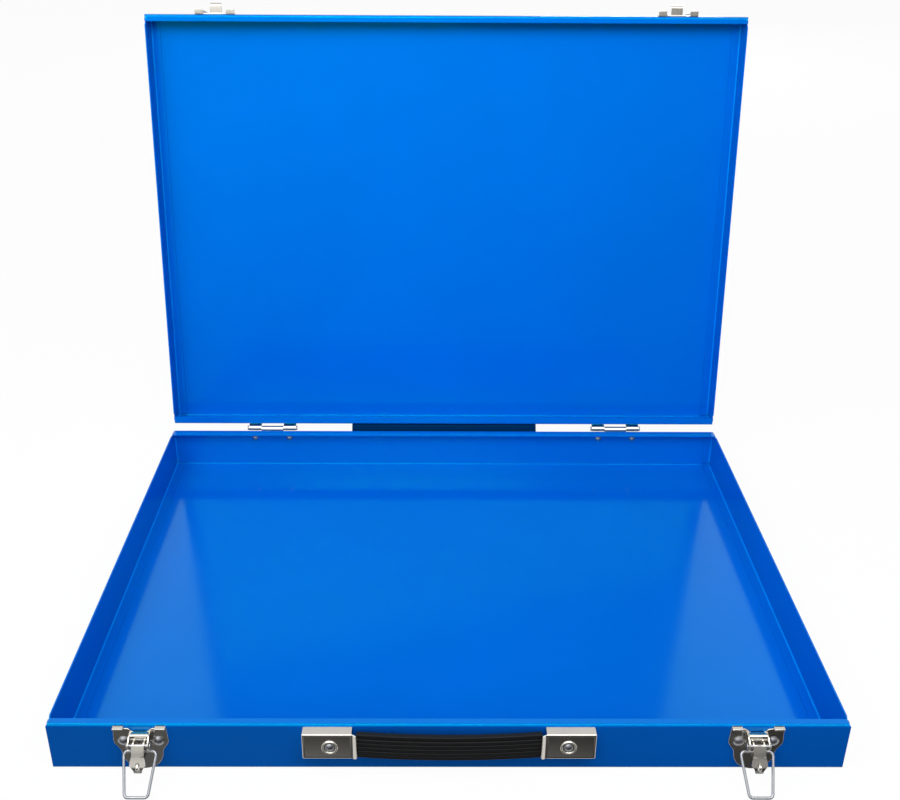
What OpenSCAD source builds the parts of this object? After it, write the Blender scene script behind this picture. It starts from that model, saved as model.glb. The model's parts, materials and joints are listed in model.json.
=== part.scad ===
// Flat sheet steel tool case: base tray, hinged lid, two draw latches and a strap handle.
// X runs across the case, Y from front to back, Z up, and lengths are millimetres.
// The origin is the centre of the base's underside, and the lid stands open against its stop.

/* [Case] */
// Width of the case
case_w = 440; // [370:1:560]
// Depth of the case from front to back
case_d = 320; // [220:1:420]
// Height of the base tray
base_h = 32; // [31.5:0.5:60]
// Height of the lid tray
lid_h = 18; // [17.5:0.5:40]
// Thickness of the sheet steel
sheet_t = 0.8; // [0.6:0.05:1.1]
// Outer radius of the bends in the sheet
bend_r = 1.6; // [1.4:0.1:2.2]
// Width of the flanges along the front rims
front_flange_w = 4.8; // [4:0.1:11]
// Width of the flange along the base's back rim
back_flange_w = 8.2; // [5:0.1:11]
// Width of the flange along the lid's back rim
lid_back_flange_w = 6.1; // [5:0.1:11]
// Width of the folded tabs on the end panels
tab_w = 7; // [4:0.5:11]
// Radius of the see-through relief in each folded corner
relief_r = 1.3; // [1.2:0.1:2]
// Length of the open notch behind each end of a rim flange
notch_l = 2.5; // [1:0.1:5]
// Depth of that notch below the flange
notch_d = 1.6; // [0.8:0.1:3]
// Radius on the ends of the rims
rim_corner_r = 1.8; // [0.5:0.1:3]
// Gap between the two rims when the lid is shut
rim_gap = 0.4; // [0.3:0.05:1]
// Angle that the lid stands open
lid_angle = 97.4; // [88:0.1:105]

/* [Hinges] */
// Distance from the end of the case to the middle of a hinge
hinge_inset = 80; // [45:0.5:92]
// Width of a hinge
hinge_w = 38; // [36:0.5:50]
// Width of the middle knuckle
knuckle_w = 17.4; // [12:0.1:20]
// Gap between neighbouring knuckles
knuckle_gap = 0.3; // [0.2:0.05:0.6]
// Radius of the hinge barrel
barrel_r = 2.4; // [2.1:0.05:2.6]
// Radius of the hinge pin
hinge_pin_r = 1.3; // [1:0.05:1.4]
// Distance of the hinge axis behind the back wall
axis_out = 3.3; // [3.2:0.1:6]
// Thickness of a hinge leaf
leaf_t = 1; // [0.8:0.05:1.2]
// Depth of the base leaf below the axis
base_leaf_h = 16; // [12:0.5:22]
// Height of the lid leaf above the axis
lid_leaf_h = 15.5; // [14:0.5:17]
// Distance between the two rivets of a leaf
hinge_rivet_pitch = 27.8; // [27:0.1:30]
// Depth of the base rivets below the axis
base_rivet_drop = 7; // [5.7:0.1:9]
// Height of the lid rivets above the axis
lid_rivet_rise = 9.4; // [8:0.1:11]
// Radius of the hinge rivets' shanks
hinge_rivet_r = 1.5; // [1.2:0.1:1.8]
// Radius of the hinge rivets' heads
hinge_head_r = 2.1; // [2:0.05:2.2]

/* [Lid stop] */
// Length of the lid stop
stop_w = 150; // [60:1:190]
// Thickness of the lid stop
stop_t = 1; // [0.8:0.1:1.3]
// Height of the leg that is welded to the back wall
stop_leg = 9; // [6:0.5:14]
// Depth of that leg's top edge below the hinge axis
stop_drop = 3.2; // [2.5:0.1:5]
// Length of the lip that the lid rests on
stop_lip = 8.6; // [4:0.1:12]

/* [Latches] */
// Distance from the end of the case to the middle of a latch
latch_inset = 51.3; // [25:0.1:80]
// Width of the latch plate at its ears, and of the keeper
plate_w = 28.4; // [27.6:0.1:30]
// Width of the latch plate at its shoulders
shoulder_w = 30.4; // [30:0.1:34]
// Thickness of the latch plate and the keeper
plate_t = 1; // [0.8:0.05:1.2]
// Height of the latch plate below the base's rim
plate_drop = 31; // [29:0.1:31.2]
// Radius of the latch plate's round lower lobe
lobe_r = 11.2; // [9.5:0.1:12]
// Depth below the rim at which the plate starts to narrow
shoulder_drop = 12; // [11:0.1:14]
// Width of each folded ear
ear_w = 5.7; // [4:0.1:7]
// How far an ear of the latch plate stands out
ear_out = 2; // [1.5:0.1:2.2]
// How far an ear of the keeper stands out
keeper_ear_out = 3; // [2:0.1:4]
// Gap between the ears and their rim
ear_gap = 0.3; // [0.2:0.05:0.6]
// Depth of the round dip between the ears
dip = 4; // [3:0.1:4.4]
// Distance between the two rivets of a plate
latch_rivet_pitch = 19; // [18.8:0.1:20]
// Depth of the latch rivets below the rim
latch_rivet_drop = 10.5; // [9:0.1:11.5]
// Height of the keeper rivets above the lid's rim
keeper_rivet_rise = 8.2; // [7:0.1:9]
// Radius of the latch rivets' domed heads
latch_head_r = 3.2; // [2.6:0.1:3.3]
// Radius of the latch rivets' shanks
latch_rivet_r = 1.6; // [1.2:0.1:2]
// Height of the keeper plate
keeper_h = 14.4; // [13.5:0.1:16]
// Width of the keeper's hook
hook_w = 8.4; // [6:0.1:9]
// Distance of the hooked wire from the wall
hook_out = 6; // [5:0.1:7]
// Height of the hook's lip past the wire's middle
hook_lip = 1.2; // [0.8:0.1:2]
// Distance of the bridge's face behind the lever's pin
bridge_back = 2; // [1.8:0.1:2.2]
// Outer radius of the bend in the bridge
bridge_bend_r = 1.6; // [1.3:0.1:1.8]

/* [Lever and bail] */
// Distance of the lever's pin from the wall
lever_pin_out = 6; // [5.6:0.05:6.5]
// Depth of the lever's pin below the rim
lever_pin_drop = 9.2; // [8.8:0.05:9.6]
// Radius of the lever's pin
lever_pin_r = 1.1; // [0.8:0.05:1.2]
// Length of the lever below its pin
lever_len = 17.2; // [16.5:0.1:19]
// How far the lever's face swells out below its pin
lever_bulge = 3.1; // [2.6:0.1:4]
// Thickness of the lever
lever_t = 1; // [0.8:0.05:1.1]
// Width of the lever at its neck
neck_w = 8.9; // [8:0.1:9.2]
// Width of the lever at its round part
spoon_w = 11.6; // [10:0.1:11.8]
// Width of the lever's tip
tip_w = 6.4; // [4:0.1:8]
// Width of the slot in the lever
slot_w = 3.2; // [2.6:0.1:4]
// Length of the slot in the lever
slot_l = 6.8; // [6.6:0.1:7.4]
// Thickness of the staple that passes through the slot
staple_t = 1.3; // [0.8:0.1:1.6]
// How far the staple stands out from the wall
staple_out = 14.4; // [14:0.1:14.8]
// Height of the staple
staple_h = 3.8; // [3:0.1:4]
// Radius of the seal hole in the staple
seal_r = 0.9; // [0.5:0.1:1]
// Thickness of the cheeks that hold the lever's pin
cheek_t = 1; // [0.8:0.05:1]
// Radius of the bail's wire
wire_r = 0.8; // [0.6:0.05:0.9]
// Distance of the bail's pivot from the wall
bail_pin_out = 4.4; // [4.2:0.05:4.8]
// Depth of the bail's pivot below the rim
bail_pin_drop = 14.6; // [14.2:0.05:15]
// Length of the bail between the middles of its bars
bail_len = 23.5; // [21:0.1:26]
// Width of the bail at its pivot between the middles of its sides
bail_top_w = 18; // [17.5:0.1:20]
// Width of the bail at its free end between the middles of its sides
bail_end_w = 12.6; // [12.2:0.1:14]
// Radius of the bail's bends
bail_bend_r = 2; // [1.6:0.1:2.4]

/* [Handle] */
// Height of the handle's middle above the table
handle_z = 22; // [18:0.1:22.5]
// Distance from the middle of the case to the inner end of a cap
cap_in = 53; // [45:0.5:65]
// Length of a cap
cap_w = 27.2; // [24:0.1:32]
// Height of a cap
cap_h = 17.5; // [16.8:0.1:18]
// Depth of a cap
cap_d = 6; // [5.7:0.1:7]
// Thickness of a cap's sheet
cap_t = 0.7; // [0.5:0.05:0.8]
// Height of the pyramid on a cap's face
pyramid_h = 0.8; // [0.4:0.1:1.2]
// Distance from the cap's inner end to its rivet
cap_rivet_in = 12; // [10:0.1:15]
// Radius of the ring round the cap's rivet
boss_r = 4.5; // [4:0.1:5.5]
// Radius of the cap rivet's dome
cap_head_r = 3; // [2.5:0.1:3.2]
// Radius of the cap rivet's shank
cap_rivet_r = 1.5; // [1.2:0.1:1.6]
// Length of the flared lip over the end of the grip
lip_l = 3; // [2:0.1:4]
// How far the lip flares out
lip_out = 1.2; // [0.9:0.1:1.6]
// Radius of a backing washer
washer_r = 5; // [4:0.1:7]
// Thickness of a backing washer
washer_t = 1; // [0.8:0.1:1.5]
// Distance of the grip's face from the wall at its middle
grip_out = 8; // [7.8:0.1:9.5]
// How far the grip is bowed between its middle and its ends
grip_sag = 2.3; // [1.8:0.1:3]
// Thickness of the grip, ribs included
grip_t = 3.4; // [3.2:0.1:3.5]
// Height of the grip
grip_h = 16.4; // [15:0.1:16.6]
// Half the length of the part of the grip that moves as one
grip_mid = 30; // [20:0.5:36]
// Gap between the end of the grip and the cap
grip_end_gap = 2.4; // [2:0.1:2.8]
// How many ribs the grip has
rib_count = 6; // [4:1:8]
// How far the ribs stand proud
rib_h = 0.8; // [0.4:0.1:1]
// Thickness of the spring steel strap
strap_t = 0.8; // [0.5:0.1:1]
// Height of the spring steel strap
strap_h = 11; // [8:0.1:12]
// Length of the strap's tail inside a cap
tail_l = 21; // [17:0.1:23]
// Length that the strap can slide past its rivet
strap_slot = 8; // [6:0.1:9]

/* [Hidden] */
$fn = 48;

BLUE = [0.0, 0.36, 0.80];
NICKEL = [0.78, 0.77, 0.74];
ZINC = [0.72, 0.74, 0.76];
BLACK = [0.05, 0.05, 0.055];

LEFT = -1;
RIGHT = 1;
SIDES = [LEFT, RIGHT];

// Running clearance round a turning pin, clearance in a riveted seat, and overlap of joined shapes
run_gap = 0.05;
seat_gap = 0.03;
merge = 0.4;
// Clearance between pieces that move past each other, and how far a cut runs past a face
clear = 0.4;
past = 1;
// Gap that the lid keeps from its stop
stop_gap = 0.3;
// Gap between the wire and the table
table_gap = 0.3;
// Radii of the lever's lugs round its two pivots, and the gap inside its curled top
lug_pin_r = lever_pin_r + 1;
lug_wire_r = wire_r + 1;
curl_in = lever_pin_r + 0.2;
// Height of the rivets' domes, thickness and radius of their plain inner heads
dome_h = 1.5;
head_t = 0.8;
head_extra = 0.7;
// Extra radius of the cheek round the pin's hole, and size of the peened ends of a pin
cheek_rim = 1.4;
peen_r = 0.5;
peen_t = 0.8;
// Width and height of the ring round a cap's rivet
ring_w = 1;
ring_h = 0.9;
// Swelling of the bail's wire at the ends of its bends
swell = 0.05;
// Distance of the staple's middle above the slot's middle
staple_rise = 0.6;
// Bare margin round the cap's pyramid
pyramid_margin = 1.2;
// Facets of the wide arc that the grip follows
arc_fn = 720;

axis_y = case_d / 2 + axis_out;
axis_z = base_h + rim_gap / 2;
lid_rim_z = base_h + rim_gap;
hinge_x = case_w / 2 - hinge_inset;
latch_x = case_w / 2 - latch_inset;
front_y = -case_d / 2;
inner_d = case_d - 2 * sheet_t;
lever_pin = [-lever_pin_out, -lever_pin_drop];
bail_pin = [-bail_pin_out, -bail_pin_drop];
bail_drop = base_h - bail_pin_drop - wire_r - table_gap;
bail_angle = acos(min(1, bail_drop / bail_len));
hook_rise = sqrt(pow(bail_len, 2) - pow(hook_out - bail_pin_out, 2)) - bail_pin_drop - rim_gap;
curl_out = curl_in + lever_t;
cheek_x = neck_w / 2 + clear;
lever_top = lever_pin + [-curl_out, 0];
lever_face = [
    lever_top,
    lever_top + [-0.10 * lever_bulge, -0.13 * lever_len],
    lever_top + [-0.87 * lever_bulge, -0.48 * lever_len],
    lever_top + [-lever_bulge, -0.77 * lever_len],
    lever_top + [-0.74 * lever_bulge, -lever_len]
];
spoon_drop = 0.66 * lever_len;
cap_mid = cap_in + cap_w / 2;
cap_rivet_x = cap_in + cap_rivet_in;
grip_half = cap_in - grip_end_gap;
bow_r = (pow(grip_half, 2) + pow(grip_sag, 2)) / (2 * grip_sag);
strap_out = grip_out - (grip_t + rib_h) / 2;
strap_end_out = strap_out - bow_r + sqrt(pow(bow_r, 2) - pow(grip_half, 2));
split_gap = 0.15;

function unit(v) = v / norm(v);
function left_of(v) = [-v.y, v.x];
function reversed(v) = [for (i = [len(v) - 1 : -1 : 0]) v[i]];

// Sideways step from a corner of a path, so that a strip of thickness 1 keeps its thickness
function mitre(a, b) = (left_of(a) + left_of(b)) / (1 + a * b);

// Outline of a bent strip: the path is one face, and the other lies t to its left
function ribbon(path, t) = let (
    n = len(path),
    dirs = [for (i = [0 : n - 2]) unit(path[i + 1] - path[i])],
    side = [for (i = [0 : n - 1]) path[i] + t * mitre(dirs[max(i - 1, 0)], dirs[min(i, n - 2)])]
) concat(path, reversed(side));

// Extrudes an outline drawn as [y, z] along X, between x0 and x1
module across(x0, x1) {
    translate([x0, 0, 0])
        rotate([90, 0, 90])
            linear_extrude(x1 - x0) children();
}

// Extrudes an outline drawn as [x, z] from y = 0 towards the front
module forward(depth) {
    rotate([90, 0, 0])
        linear_extrude(depth) children();
}

module rounded_rect(w, h, r) {
    translate([-w / 2 + r, 0]) square([w - 2 * r, h]);
    translate([-w / 2, r]) square([w, h - 2 * r]);
    for (x = [-w / 2 + r, w / 2 - r], y = [r, h - r])
        translate([x, y]) circle(r);
}

// Quarter of a flat ring in the quadrant that sx and sy point into
module quarter_ring(r_in, r_out, sx, sy) {
    intersection() {
        difference() {
            circle(r_out);
            circle(r_in);
        }
        translate([min(0, sx * r_out), min(0, sy * r_out)]) square(r_out);
    }
}

// Bent sheet corner: one leg along each axis, with the outer corner at the origin
module sheet_corner(leg_x, leg_y) {
    translate([bend_r, 0]) square([leg_x - bend_r, sheet_t]);
    translate([0, bend_r]) square([sheet_t, leg_y - bend_r]);
    translate([bend_r, bend_r]) quarter_ring(bend_r - sheet_t, bend_r, -1, -1);
}

// Round bar, pin or hole along X, and along Y with y = 0 at its middle
module round_x(r, x0, x1) {
    translate([x0, 0, 0])
        rotate([0, 90, 0]) cylinder(r = r, h = x1 - x0);
}

module round_y(r, depth) {
    translate([0, depth, 0])
        rotate([90, 0, 0]) cylinder(r = r, h = 2 * depth);
}

module dome(r, h) {
    ball_r = (r * r + h * h) / (2 * h);
    intersection() {
        translate([0, 0, h - ball_r]) sphere(ball_r);
        cylinder(r = r, h = h);
    }
}

// Rivet with its dome towards the front: y = 0 is the face that the dome sits on
module rivet(shank_r, grip, dome_r) {
    rotate([90, 0, 0]) {
        dome(dome_r, dome_h);
        translate([0, 0, -grip - merge]) cylinder(r = shank_r, h = grip + 2 * merge);
        translate([0, 0, -grip - head_t]) cylinder(r = shank_r + head_extra, h = head_t);
    }
}

// Floor, front wall, back wall and rim flanges of a tray that stands on z = 0
module tray_pan(h, back_w) {
    intersection() {
        across(-case_w / 2, case_w / 2) difference() {
            rounded_rect(case_d, h, bend_r);
            translate([0, sheet_t]) rounded_rect(inner_d, h - 2 * sheet_t, bend_r - sheet_t);
            translate([-case_d / 2 + front_flange_w, h - sheet_t - past])
                square([case_d - front_flange_w - back_w, 3 * past]);
        }
        translate([0, case_d, 0]) forward(2 * case_d) {
            rounded_rect(case_w, h, rim_corner_r);
            translate([-case_w / 2, 0]) square([case_w, h / 2]);
        }
    }
}

// Flat part of an end panel, drawn as [y, z] for the half that ends under a flange of the given width
module end_outline(h, flange_w) {
    edge = inner_d / 2 - bend_r;
    flange_in = case_d / 2 - flange_w;
    under = h - sheet_t - seat_gap;
    polygon([
        [-past, sheet_t + bend_r],
        [edge, sheet_t + bend_r],
        [edge, under],
        [flange_in, under],
        [flange_in, under - notch_d],
        [flange_in - notch_l, h],
        [-past, h]
    ]);
}

// Left end panel of a tray, with three tabs folded inwards and open reliefs in its corners
module tray_end(h, back_w) {
    difference() {
        translate([-case_w / 2, 0, 0]) union() {
            for (front = [0, 1]) mirror([0, front, 0]) {
                across(0, sheet_t) end_outline(h, front == 1 ? front_flange_w : back_w);
                translate([0, -inner_d / 2, sheet_t + bend_r])
                    linear_extrude(h - 2 * bend_r - 2 * sheet_t) sheet_corner(tab_w, bend_r + merge);
            }
            translate([0, inner_d / 2 - bend_r, sheet_t])
                rotate([90, 0, 0])
                    linear_extrude(inner_d - 2 * bend_r) sheet_corner(tab_w, bend_r + merge);
        }
        for (side = SIDES)
            translate([0, side * (inner_d / 2 - bend_r), sheet_t + bend_r])
                round_x(relief_r, -case_w / 2 - past, -case_w / 2 + sheet_t + past);
    }
}

// Puts what is drawn for the shut lid into the open lid's place
module open_lid() {
    translate([0, axis_y, axis_z])
        rotate([-lid_angle, 0, 0])
            translate([0, -axis_y, -axis_z]) children();
}

// Turns a tray upside down onto the base
module lid_tray() {
    open_lid()
        translate([0, 0, lid_rim_z + lid_h])
            mirror([0, 0, 1]) children();
}

// Places of the rivets: x and z of each, for hinges, latches and handle
module at_hinge_rivets(rise) {
    for (side = SIDES, end = SIDES)
        translate([side * hinge_x + end * hinge_rivet_pitch / 2, 0, axis_z + rise]) children();
}

module at_plate_rivets(rise) {
    for (side = SIDES, end = SIDES)
        translate([side * latch_x + end * latch_rivet_pitch / 2, 0, rise]) children();
}

module at_cap_rivets() {
    for (side = SIDES)
        translate([side * cap_rivet_x, 0, handle_z]) children();
}

module at_latch(side) {
    translate([side * latch_x, front_y, base_h]) children();
}

module at_hinge(side) {
    translate([side * hinge_x, axis_y, axis_z]) children();
}

module base_pan() {
    color(BLUE) difference() {
        tray_pan(base_h, back_flange_w);
        at_hinge_rivets(-base_rivet_drop)
            translate([0, case_d / 2, 0]) round_y(hinge_rivet_r + seat_gap, past + sheet_t);
        at_plate_rivets(base_h - latch_rivet_drop)
            translate([0, front_y, 0]) round_y(latch_rivet_r + seat_gap, past + sheet_t);
        at_cap_rivets()
            translate([0, front_y, 0]) round_y(cap_rivet_r + seat_gap, past + sheet_t);
    }
}

module base_end(side) {
    color(BLUE)
        mirror([side == RIGHT ? 1 : 0, 0, 0]) tray_end(base_h, back_flange_w);
}

module lid_pan() {
    color(BLUE) difference() {
        lid_tray() tray_pan(lid_h, lid_back_flange_w);
        open_lid() {
            at_hinge_rivets(lid_rivet_rise)
                translate([0, case_d / 2, 0]) round_y(hinge_rivet_r + seat_gap, past + sheet_t);
            at_plate_rivets(lid_rim_z + keeper_rivet_rise)
                translate([0, front_y, 0]) round_y(latch_rivet_r + seat_gap, past + sheet_t);
        }
    }
}

module lid_end(side) {
    color(BLUE)
        lid_tray() mirror([side == RIGHT ? 1 : 0, 0, 0]) tray_end(lid_h, lid_back_flange_w);
}

// Bent strip on the back wall. Its lip lies parallel to the open lid's back wall.
module lid_stop() {
    out = [-cos(lid_angle), sin(lid_angle)];
    along = [sin(lid_angle), cos(lid_angle)];
    lip = (axis_out - stop_gap) * out;
    path = [
        lip + stop_lip * along,
        lip + stop_gap * along,
        [-axis_out, -stop_drop],
        [-axis_out, -stop_drop - stop_leg]
    ];
    color(BLUE)
        translate([0, axis_y, axis_z])
            across(-stop_w / 2, stop_w / 2) polygon(ribbon(path, stop_t));
}

// One knuckle with its cranked strip, drawn round the hinge axis. It points down for the base.
module knuckle(x0, x1, bore_r, end_z) {
    crank = axis_out - barrel_r;
    path = [[-barrel_r, 0], [-barrel_r, -barrel_r], [-axis_out, -barrel_r - crank], [-axis_out, end_z]];
    difference() {
        across(x0, x1) {
            circle(barrel_r);
            polygon(ribbon(path, leaf_t));
        }
        round_x(bore_r, x0 - past, x1 + past);
    }
}

module leaf_plate(z0, z1, rivet_z) {
    difference() {
        translate([-hinge_w / 2, -axis_out, z0]) cube([hinge_w, leaf_t, z1 - z0]);
        for (end = SIDES)
            translate([end * hinge_rivet_pitch / 2, -axis_out, rivet_z])
                round_y(hinge_rivet_r + seat_gap, leaf_t + past);
    }
}

module base_leaf(side) {
    color(NICKEL) at_hinge(side) {
        leaf_plate(-base_leaf_h, -barrel_r - clear, -base_rivet_drop);
        knuckle(-knuckle_w / 2, knuckle_w / 2, hinge_pin_r + seat_gap, -base_leaf_h);
    }
}

module lid_leaf(side) {
    start = knuckle_w / 2 + knuckle_gap;
    color(NICKEL) open_lid() at_hinge(side) mirror([0, 0, 1]) {
        leaf_plate(-lid_leaf_h, -axis_out, -lid_rivet_rise);
        for (end = [0, 1])
            mirror([end, 0, 0]) knuckle(start, hinge_w / 2, hinge_pin_r + run_gap, -axis_out - barrel_r);
    }
}

module hinge_pin(side) {
    color(ZINC) at_hinge(side) {
        round_x(hinge_pin_r, -hinge_w / 2 - clear, hinge_w / 2 + clear);
        for (end = [0, 1])
            mirror([end, 0, 0])
                round_x(hinge_pin_r + peen_r, hinge_w / 2 + clear / 2, hinge_w / 2 + clear / 2 + peen_t);
    }
}

module hinge_base_rivets() {
    color(ZINC) at_hinge_rivets(-base_rivet_drop)
        translate([0, case_d / 2 - sheet_t, 0]) rivet(hinge_rivet_r, sheet_t + leaf_t, hinge_head_r);
}

module hinge_lid_rivets() {
    color(ZINC) open_lid() at_hinge_rivets(lid_rivet_rise)
        translate([0, case_d / 2 - sheet_t, 0]) rivet(hinge_rivet_r, sheet_t + leaf_t, hinge_head_r);
}

// Front view of the latch plate, from the rim down: ears, dip, shoulders and round lobe
module plate_outline() {
    lobe_z = -plate_drop + lobe_r;
    dip_half = plate_w / 2 - ear_w;
    dip_r = (dip_half * dip_half + dip * dip) / (2 * dip);
    difference() {
        union() {
            polygon([
                [-plate_w / 2, -ear_gap], [plate_w / 2, -ear_gap],
                [shoulder_w / 2, -shoulder_drop], [lobe_r, lobe_z],
                [-lobe_r, lobe_z], [-shoulder_w / 2, -shoulder_drop]
            ]);
            translate([0, lobe_z]) circle(lobe_r);
        }
        translate([0, dip_r - dip]) circle(dip_r, $fn = 96);
    }
}

// Ears folded forward at the rim side of a plate
module ears(out) {
    for (side = [0, 1])
        mirror([side, 0, 0])
            translate([plate_w / 2 - ear_w, -out - plate_t, -ear_gap - plate_t])
                cube([ear_w, out + plate_t, plate_t]);
}

// Cheek outline as [y, z]: a round eye for the pin, tied to the plate above and below it
module cheek_outline() {
    eye_r = lever_pin_r + cheek_rim;
    translate(lever_pin) circle(eye_r);
    polygon([
        [-merge, -dip - clear],
        [lever_pin.x + eye_r / 2, -dip - clear],
        lever_pin + [-eye_r * cos(30), eye_r * sin(30)],
        lever_pin + [-eye_r * sin(30), -eye_r * cos(30)],
        [-merge, lever_pin.y - eye_r - past]
    ]);
}

module latch_plate(side) {
    bridge_out = lever_pin_out - bridge_back;
    bridge_low = lever_pin.y + curl_out;
    bend_y = -bridge_out + bridge_bend_r;
    staple_z = lever_pin.y - spoon_drop + staple_rise;
    nose = [-staple_out + staple_h / 2, staple_z];
    color(NICKEL) at_latch(side) difference() {
        union() {
            forward(plate_t) plate_outline();
            ears(ear_out);
            for (end = [0, 1])
                mirror([end, 0, 0]) across(cheek_x, cheek_x + cheek_t) cheek_outline();
            across(-cheek_x - merge, cheek_x + merge) {
                translate([bend_y, -dip - bridge_bend_r])
                    quarter_ring(bridge_bend_r - plate_t, bridge_bend_r, -1, 1);
                translate([bend_y, -dip - plate_t]) square([-bend_y - merge, plate_t]);
                translate([-bridge_out, bridge_low]) square([plate_t, -dip - bridge_bend_r - bridge_low]);
            }
            across(-staple_t / 2, staple_t / 2) difference() {
                union() {
                    translate([nose.x, staple_z - staple_h / 2]) square([-nose.x - merge, staple_h]);
                    translate(nose) circle(staple_h / 2);
                }
                translate(nose) circle(seal_r);
            }
        }
        for (end = SIDES)
            translate([end * latch_rivet_pitch / 2, 0, -latch_rivet_drop])
                round_y(latch_rivet_r + seat_gap, plate_t + past);
        translate([0, lever_pin.x, lever_pin.y])
            round_x(lever_pin_r + seat_gap, -cheek_x - cheek_t - past, cheek_x + cheek_t + past);
    }
}

module latch_rivets() {
    color(ZINC) at_plate_rivets(base_h - latch_rivet_drop)
        translate([0, front_y - plate_t, 0]) rivet(latch_rivet_r, sheet_t + plate_t, latch_head_r);
}

module lever_pin_piece(side) {
    end_x = cheek_x + cheek_t;
    color(ZINC) at_latch(side) translate([0, lever_pin.x, lever_pin.y]) {
        round_x(lever_pin_r, -end_x - seat_gap, end_x + seat_gap);
        for (end = [0, 1])
            mirror([end, 0, 0]) round_x(lever_pin_r + peen_r, end_x + seat_gap, end_x + seat_gap + peen_t);
    }
}

// Side view of one of the lever's two lugs, which hold the pin and the bail
module lug_outline() {
    translate(lever_pin) circle(lug_pin_r);
    translate(bail_pin) circle(lug_wire_r);
    polygon([
        lever_pin + [lug_pin_r, 0],
        bail_pin + [lug_wire_r, 0],
        bail_pin + [0, -lug_wire_r],
        lever_face[2] + [lever_t / 2, 0],
        lever_face[1] + [lever_t / 2, 0],
        lever_face[0] + [lever_t / 2, 0]
    ]);
}

// Front view of the lever: neck, round spoon and narrow tip
module lever_outline() {
    spoon_z = lever_pin.y - spoon_drop;
    tip_z = lever_pin.y - lever_len;
    translate([-neck_w / 2, spoon_z]) square([neck_w, spoon_drop + curl_out + past]);
    translate([0, spoon_z]) circle(spoon_w / 2);
    polygon([
        [-spoon_w / 2, spoon_z], [-tip_w / 2, tip_z + past], [-tip_w / 2 + past, tip_z],
        [tip_w / 2 - past, tip_z], [tip_w / 2, tip_z + past], [spoon_w / 2, spoon_z]
    ]);
}

module lever(side) {
    color(NICKEL) at_latch(side) difference() {
        union() {
            intersection() {
                across(-spoon_w / 2, spoon_w / 2) polygon(ribbon(lever_face, lever_t));
                translate([0, -past, 0]) forward(staple_out + 2 * past) lever_outline();
            }
            across(-neck_w / 2, neck_w / 2) {
                translate(lever_pin) quarter_ring(curl_in, curl_out, -1, 1);
                translate(lever_top - [0, merge]) square([lever_t, merge]);
            }
            for (end = [0, 1])
                mirror([end, 0, 0]) across(neck_w / 2 - lever_t, neck_w / 2) lug_outline();
        }
        translate([0, lever_pin.x, lever_pin.y])
            round_x(lever_pin_r + run_gap, -neck_w / 2 - past, neck_w / 2 + past);
        translate([0, bail_pin.x, bail_pin.y])
            round_x(wire_r + run_gap, -neck_w / 2 - past, neck_w / 2 + past);
        translate([0, -lever_pin_out, lever_pin.y - spoon_drop])
            forward(staple_out) lever_slot();
    }
}

module lever_slot() {
    run = (slot_l - slot_w) / 2;
    translate([-slot_w / 2, -run]) square([slot_w, 2 * run]);
    for (end = SIDES)
        translate([0, end * run]) circle(slot_w / 2);
}

// Closed wire loop through the corners of a flat outline given anticlockwise. The wire swells by a
// hair where a bend meets a straight, so that the two join cleanly.
module wire_loop(corners, r) {
    n = len(corners);
    ahead = [for (i = [0 : n - 1]) unit(corners[(i + 1) % n] - corners[i])];
    turn = [for (i = [0 : n - 1]) acos(ahead[(i + n - 1) % n] * ahead[i])];
    reach = [for (a = turn) bail_bend_r * tan(a / 2)];
    for (i = [0 : n - 1]) {
        heading = atan2(ahead[i].y, ahead[i].x);
        start = corners[i] + reach[i] * ahead[i];
        run = norm(corners[(i + 1) % n] - corners[i]) - reach[i] - reach[(i + 1) % n];
        translate([start.x, start.y, 0])
            rotate([0, 90, heading]) cylinder(r = r, h = run);
        centre = start + bail_bend_r * left_of(ahead[i]);
        for (step = [0, run])
            translate([start.x + step * ahead[i].x, start.y + step * ahead[i].y, 0])
                rotate([0, 90, heading]) sphere(r + swell);
        translate([centre.x, centre.y, 0])
            rotate([0, 0, heading - 90 - turn[i]])
                rotate_extrude(angle = turn[i]) translate([bail_bend_r, 0]) circle(r);
    }
}

module bail(side) {
    color(ZINC) at_latch(side)
        translate([0, bail_pin.x, bail_pin.y])
            rotate([270 - bail_angle, 0, 0]) wire_loop([
                [-bail_top_w / 2, 0], [bail_top_w / 2, 0],
                [bail_end_w / 2, bail_len], [-bail_end_w / 2, bail_len]
            ], wire_r);
}

// Keeper on the lid's front wall, drawn upwards from the lid's rim: plate, ears and hook
module keeper(side) {
    hook_r = wire_r + stop_gap;
    top = keeper_h;
    dip_half = plate_w / 2 - ear_w;
    color(NICKEL) open_lid() translate([side * latch_x, front_y, lid_rim_z]) difference() {
        union() {
            forward(plate_t) difference() {
                polygon([
                    [-plate_w / 2, ear_gap], [-plate_w / 2, 0.6 * top], [-plate_w / 3, top],
                    [plate_w / 3, top], [plate_w / 2, 0.6 * top], [plate_w / 2, ear_gap]
                ]);
                polygon([
                    [-dip_half, 0], [-dip_half + dip / 2, dip / 2],
                    [dip_half - dip / 2, dip / 2], [dip_half, 0]
                ]);
            }
            mirror([0, 0, 1]) ears(keeper_ear_out);
            across(-hook_w / 2, hook_w / 2) translate([-hook_out, hook_rise]) {
                translate([0, -hook_r - plate_t]) square([hook_out - merge, plate_t]);
                quarter_ring(hook_r, hook_r + plate_t, -1, -1);
                translate([-hook_r - plate_t, 0]) square([plate_t, hook_lip]);
            }
        }
        for (end = SIDES)
            translate([end * latch_rivet_pitch / 2, 0, keeper_rivet_rise])
                round_y(latch_rivet_r + seat_gap, plate_t + past);
    }
}

module keeper_rivets() {
    color(ZINC) open_lid() at_plate_rivets(lid_rim_z + keeper_rivet_rise)
        translate([0, front_y - plate_t, 0]) rivet(latch_rivet_r, sheet_t + plate_t, latch_head_r);
}

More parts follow.
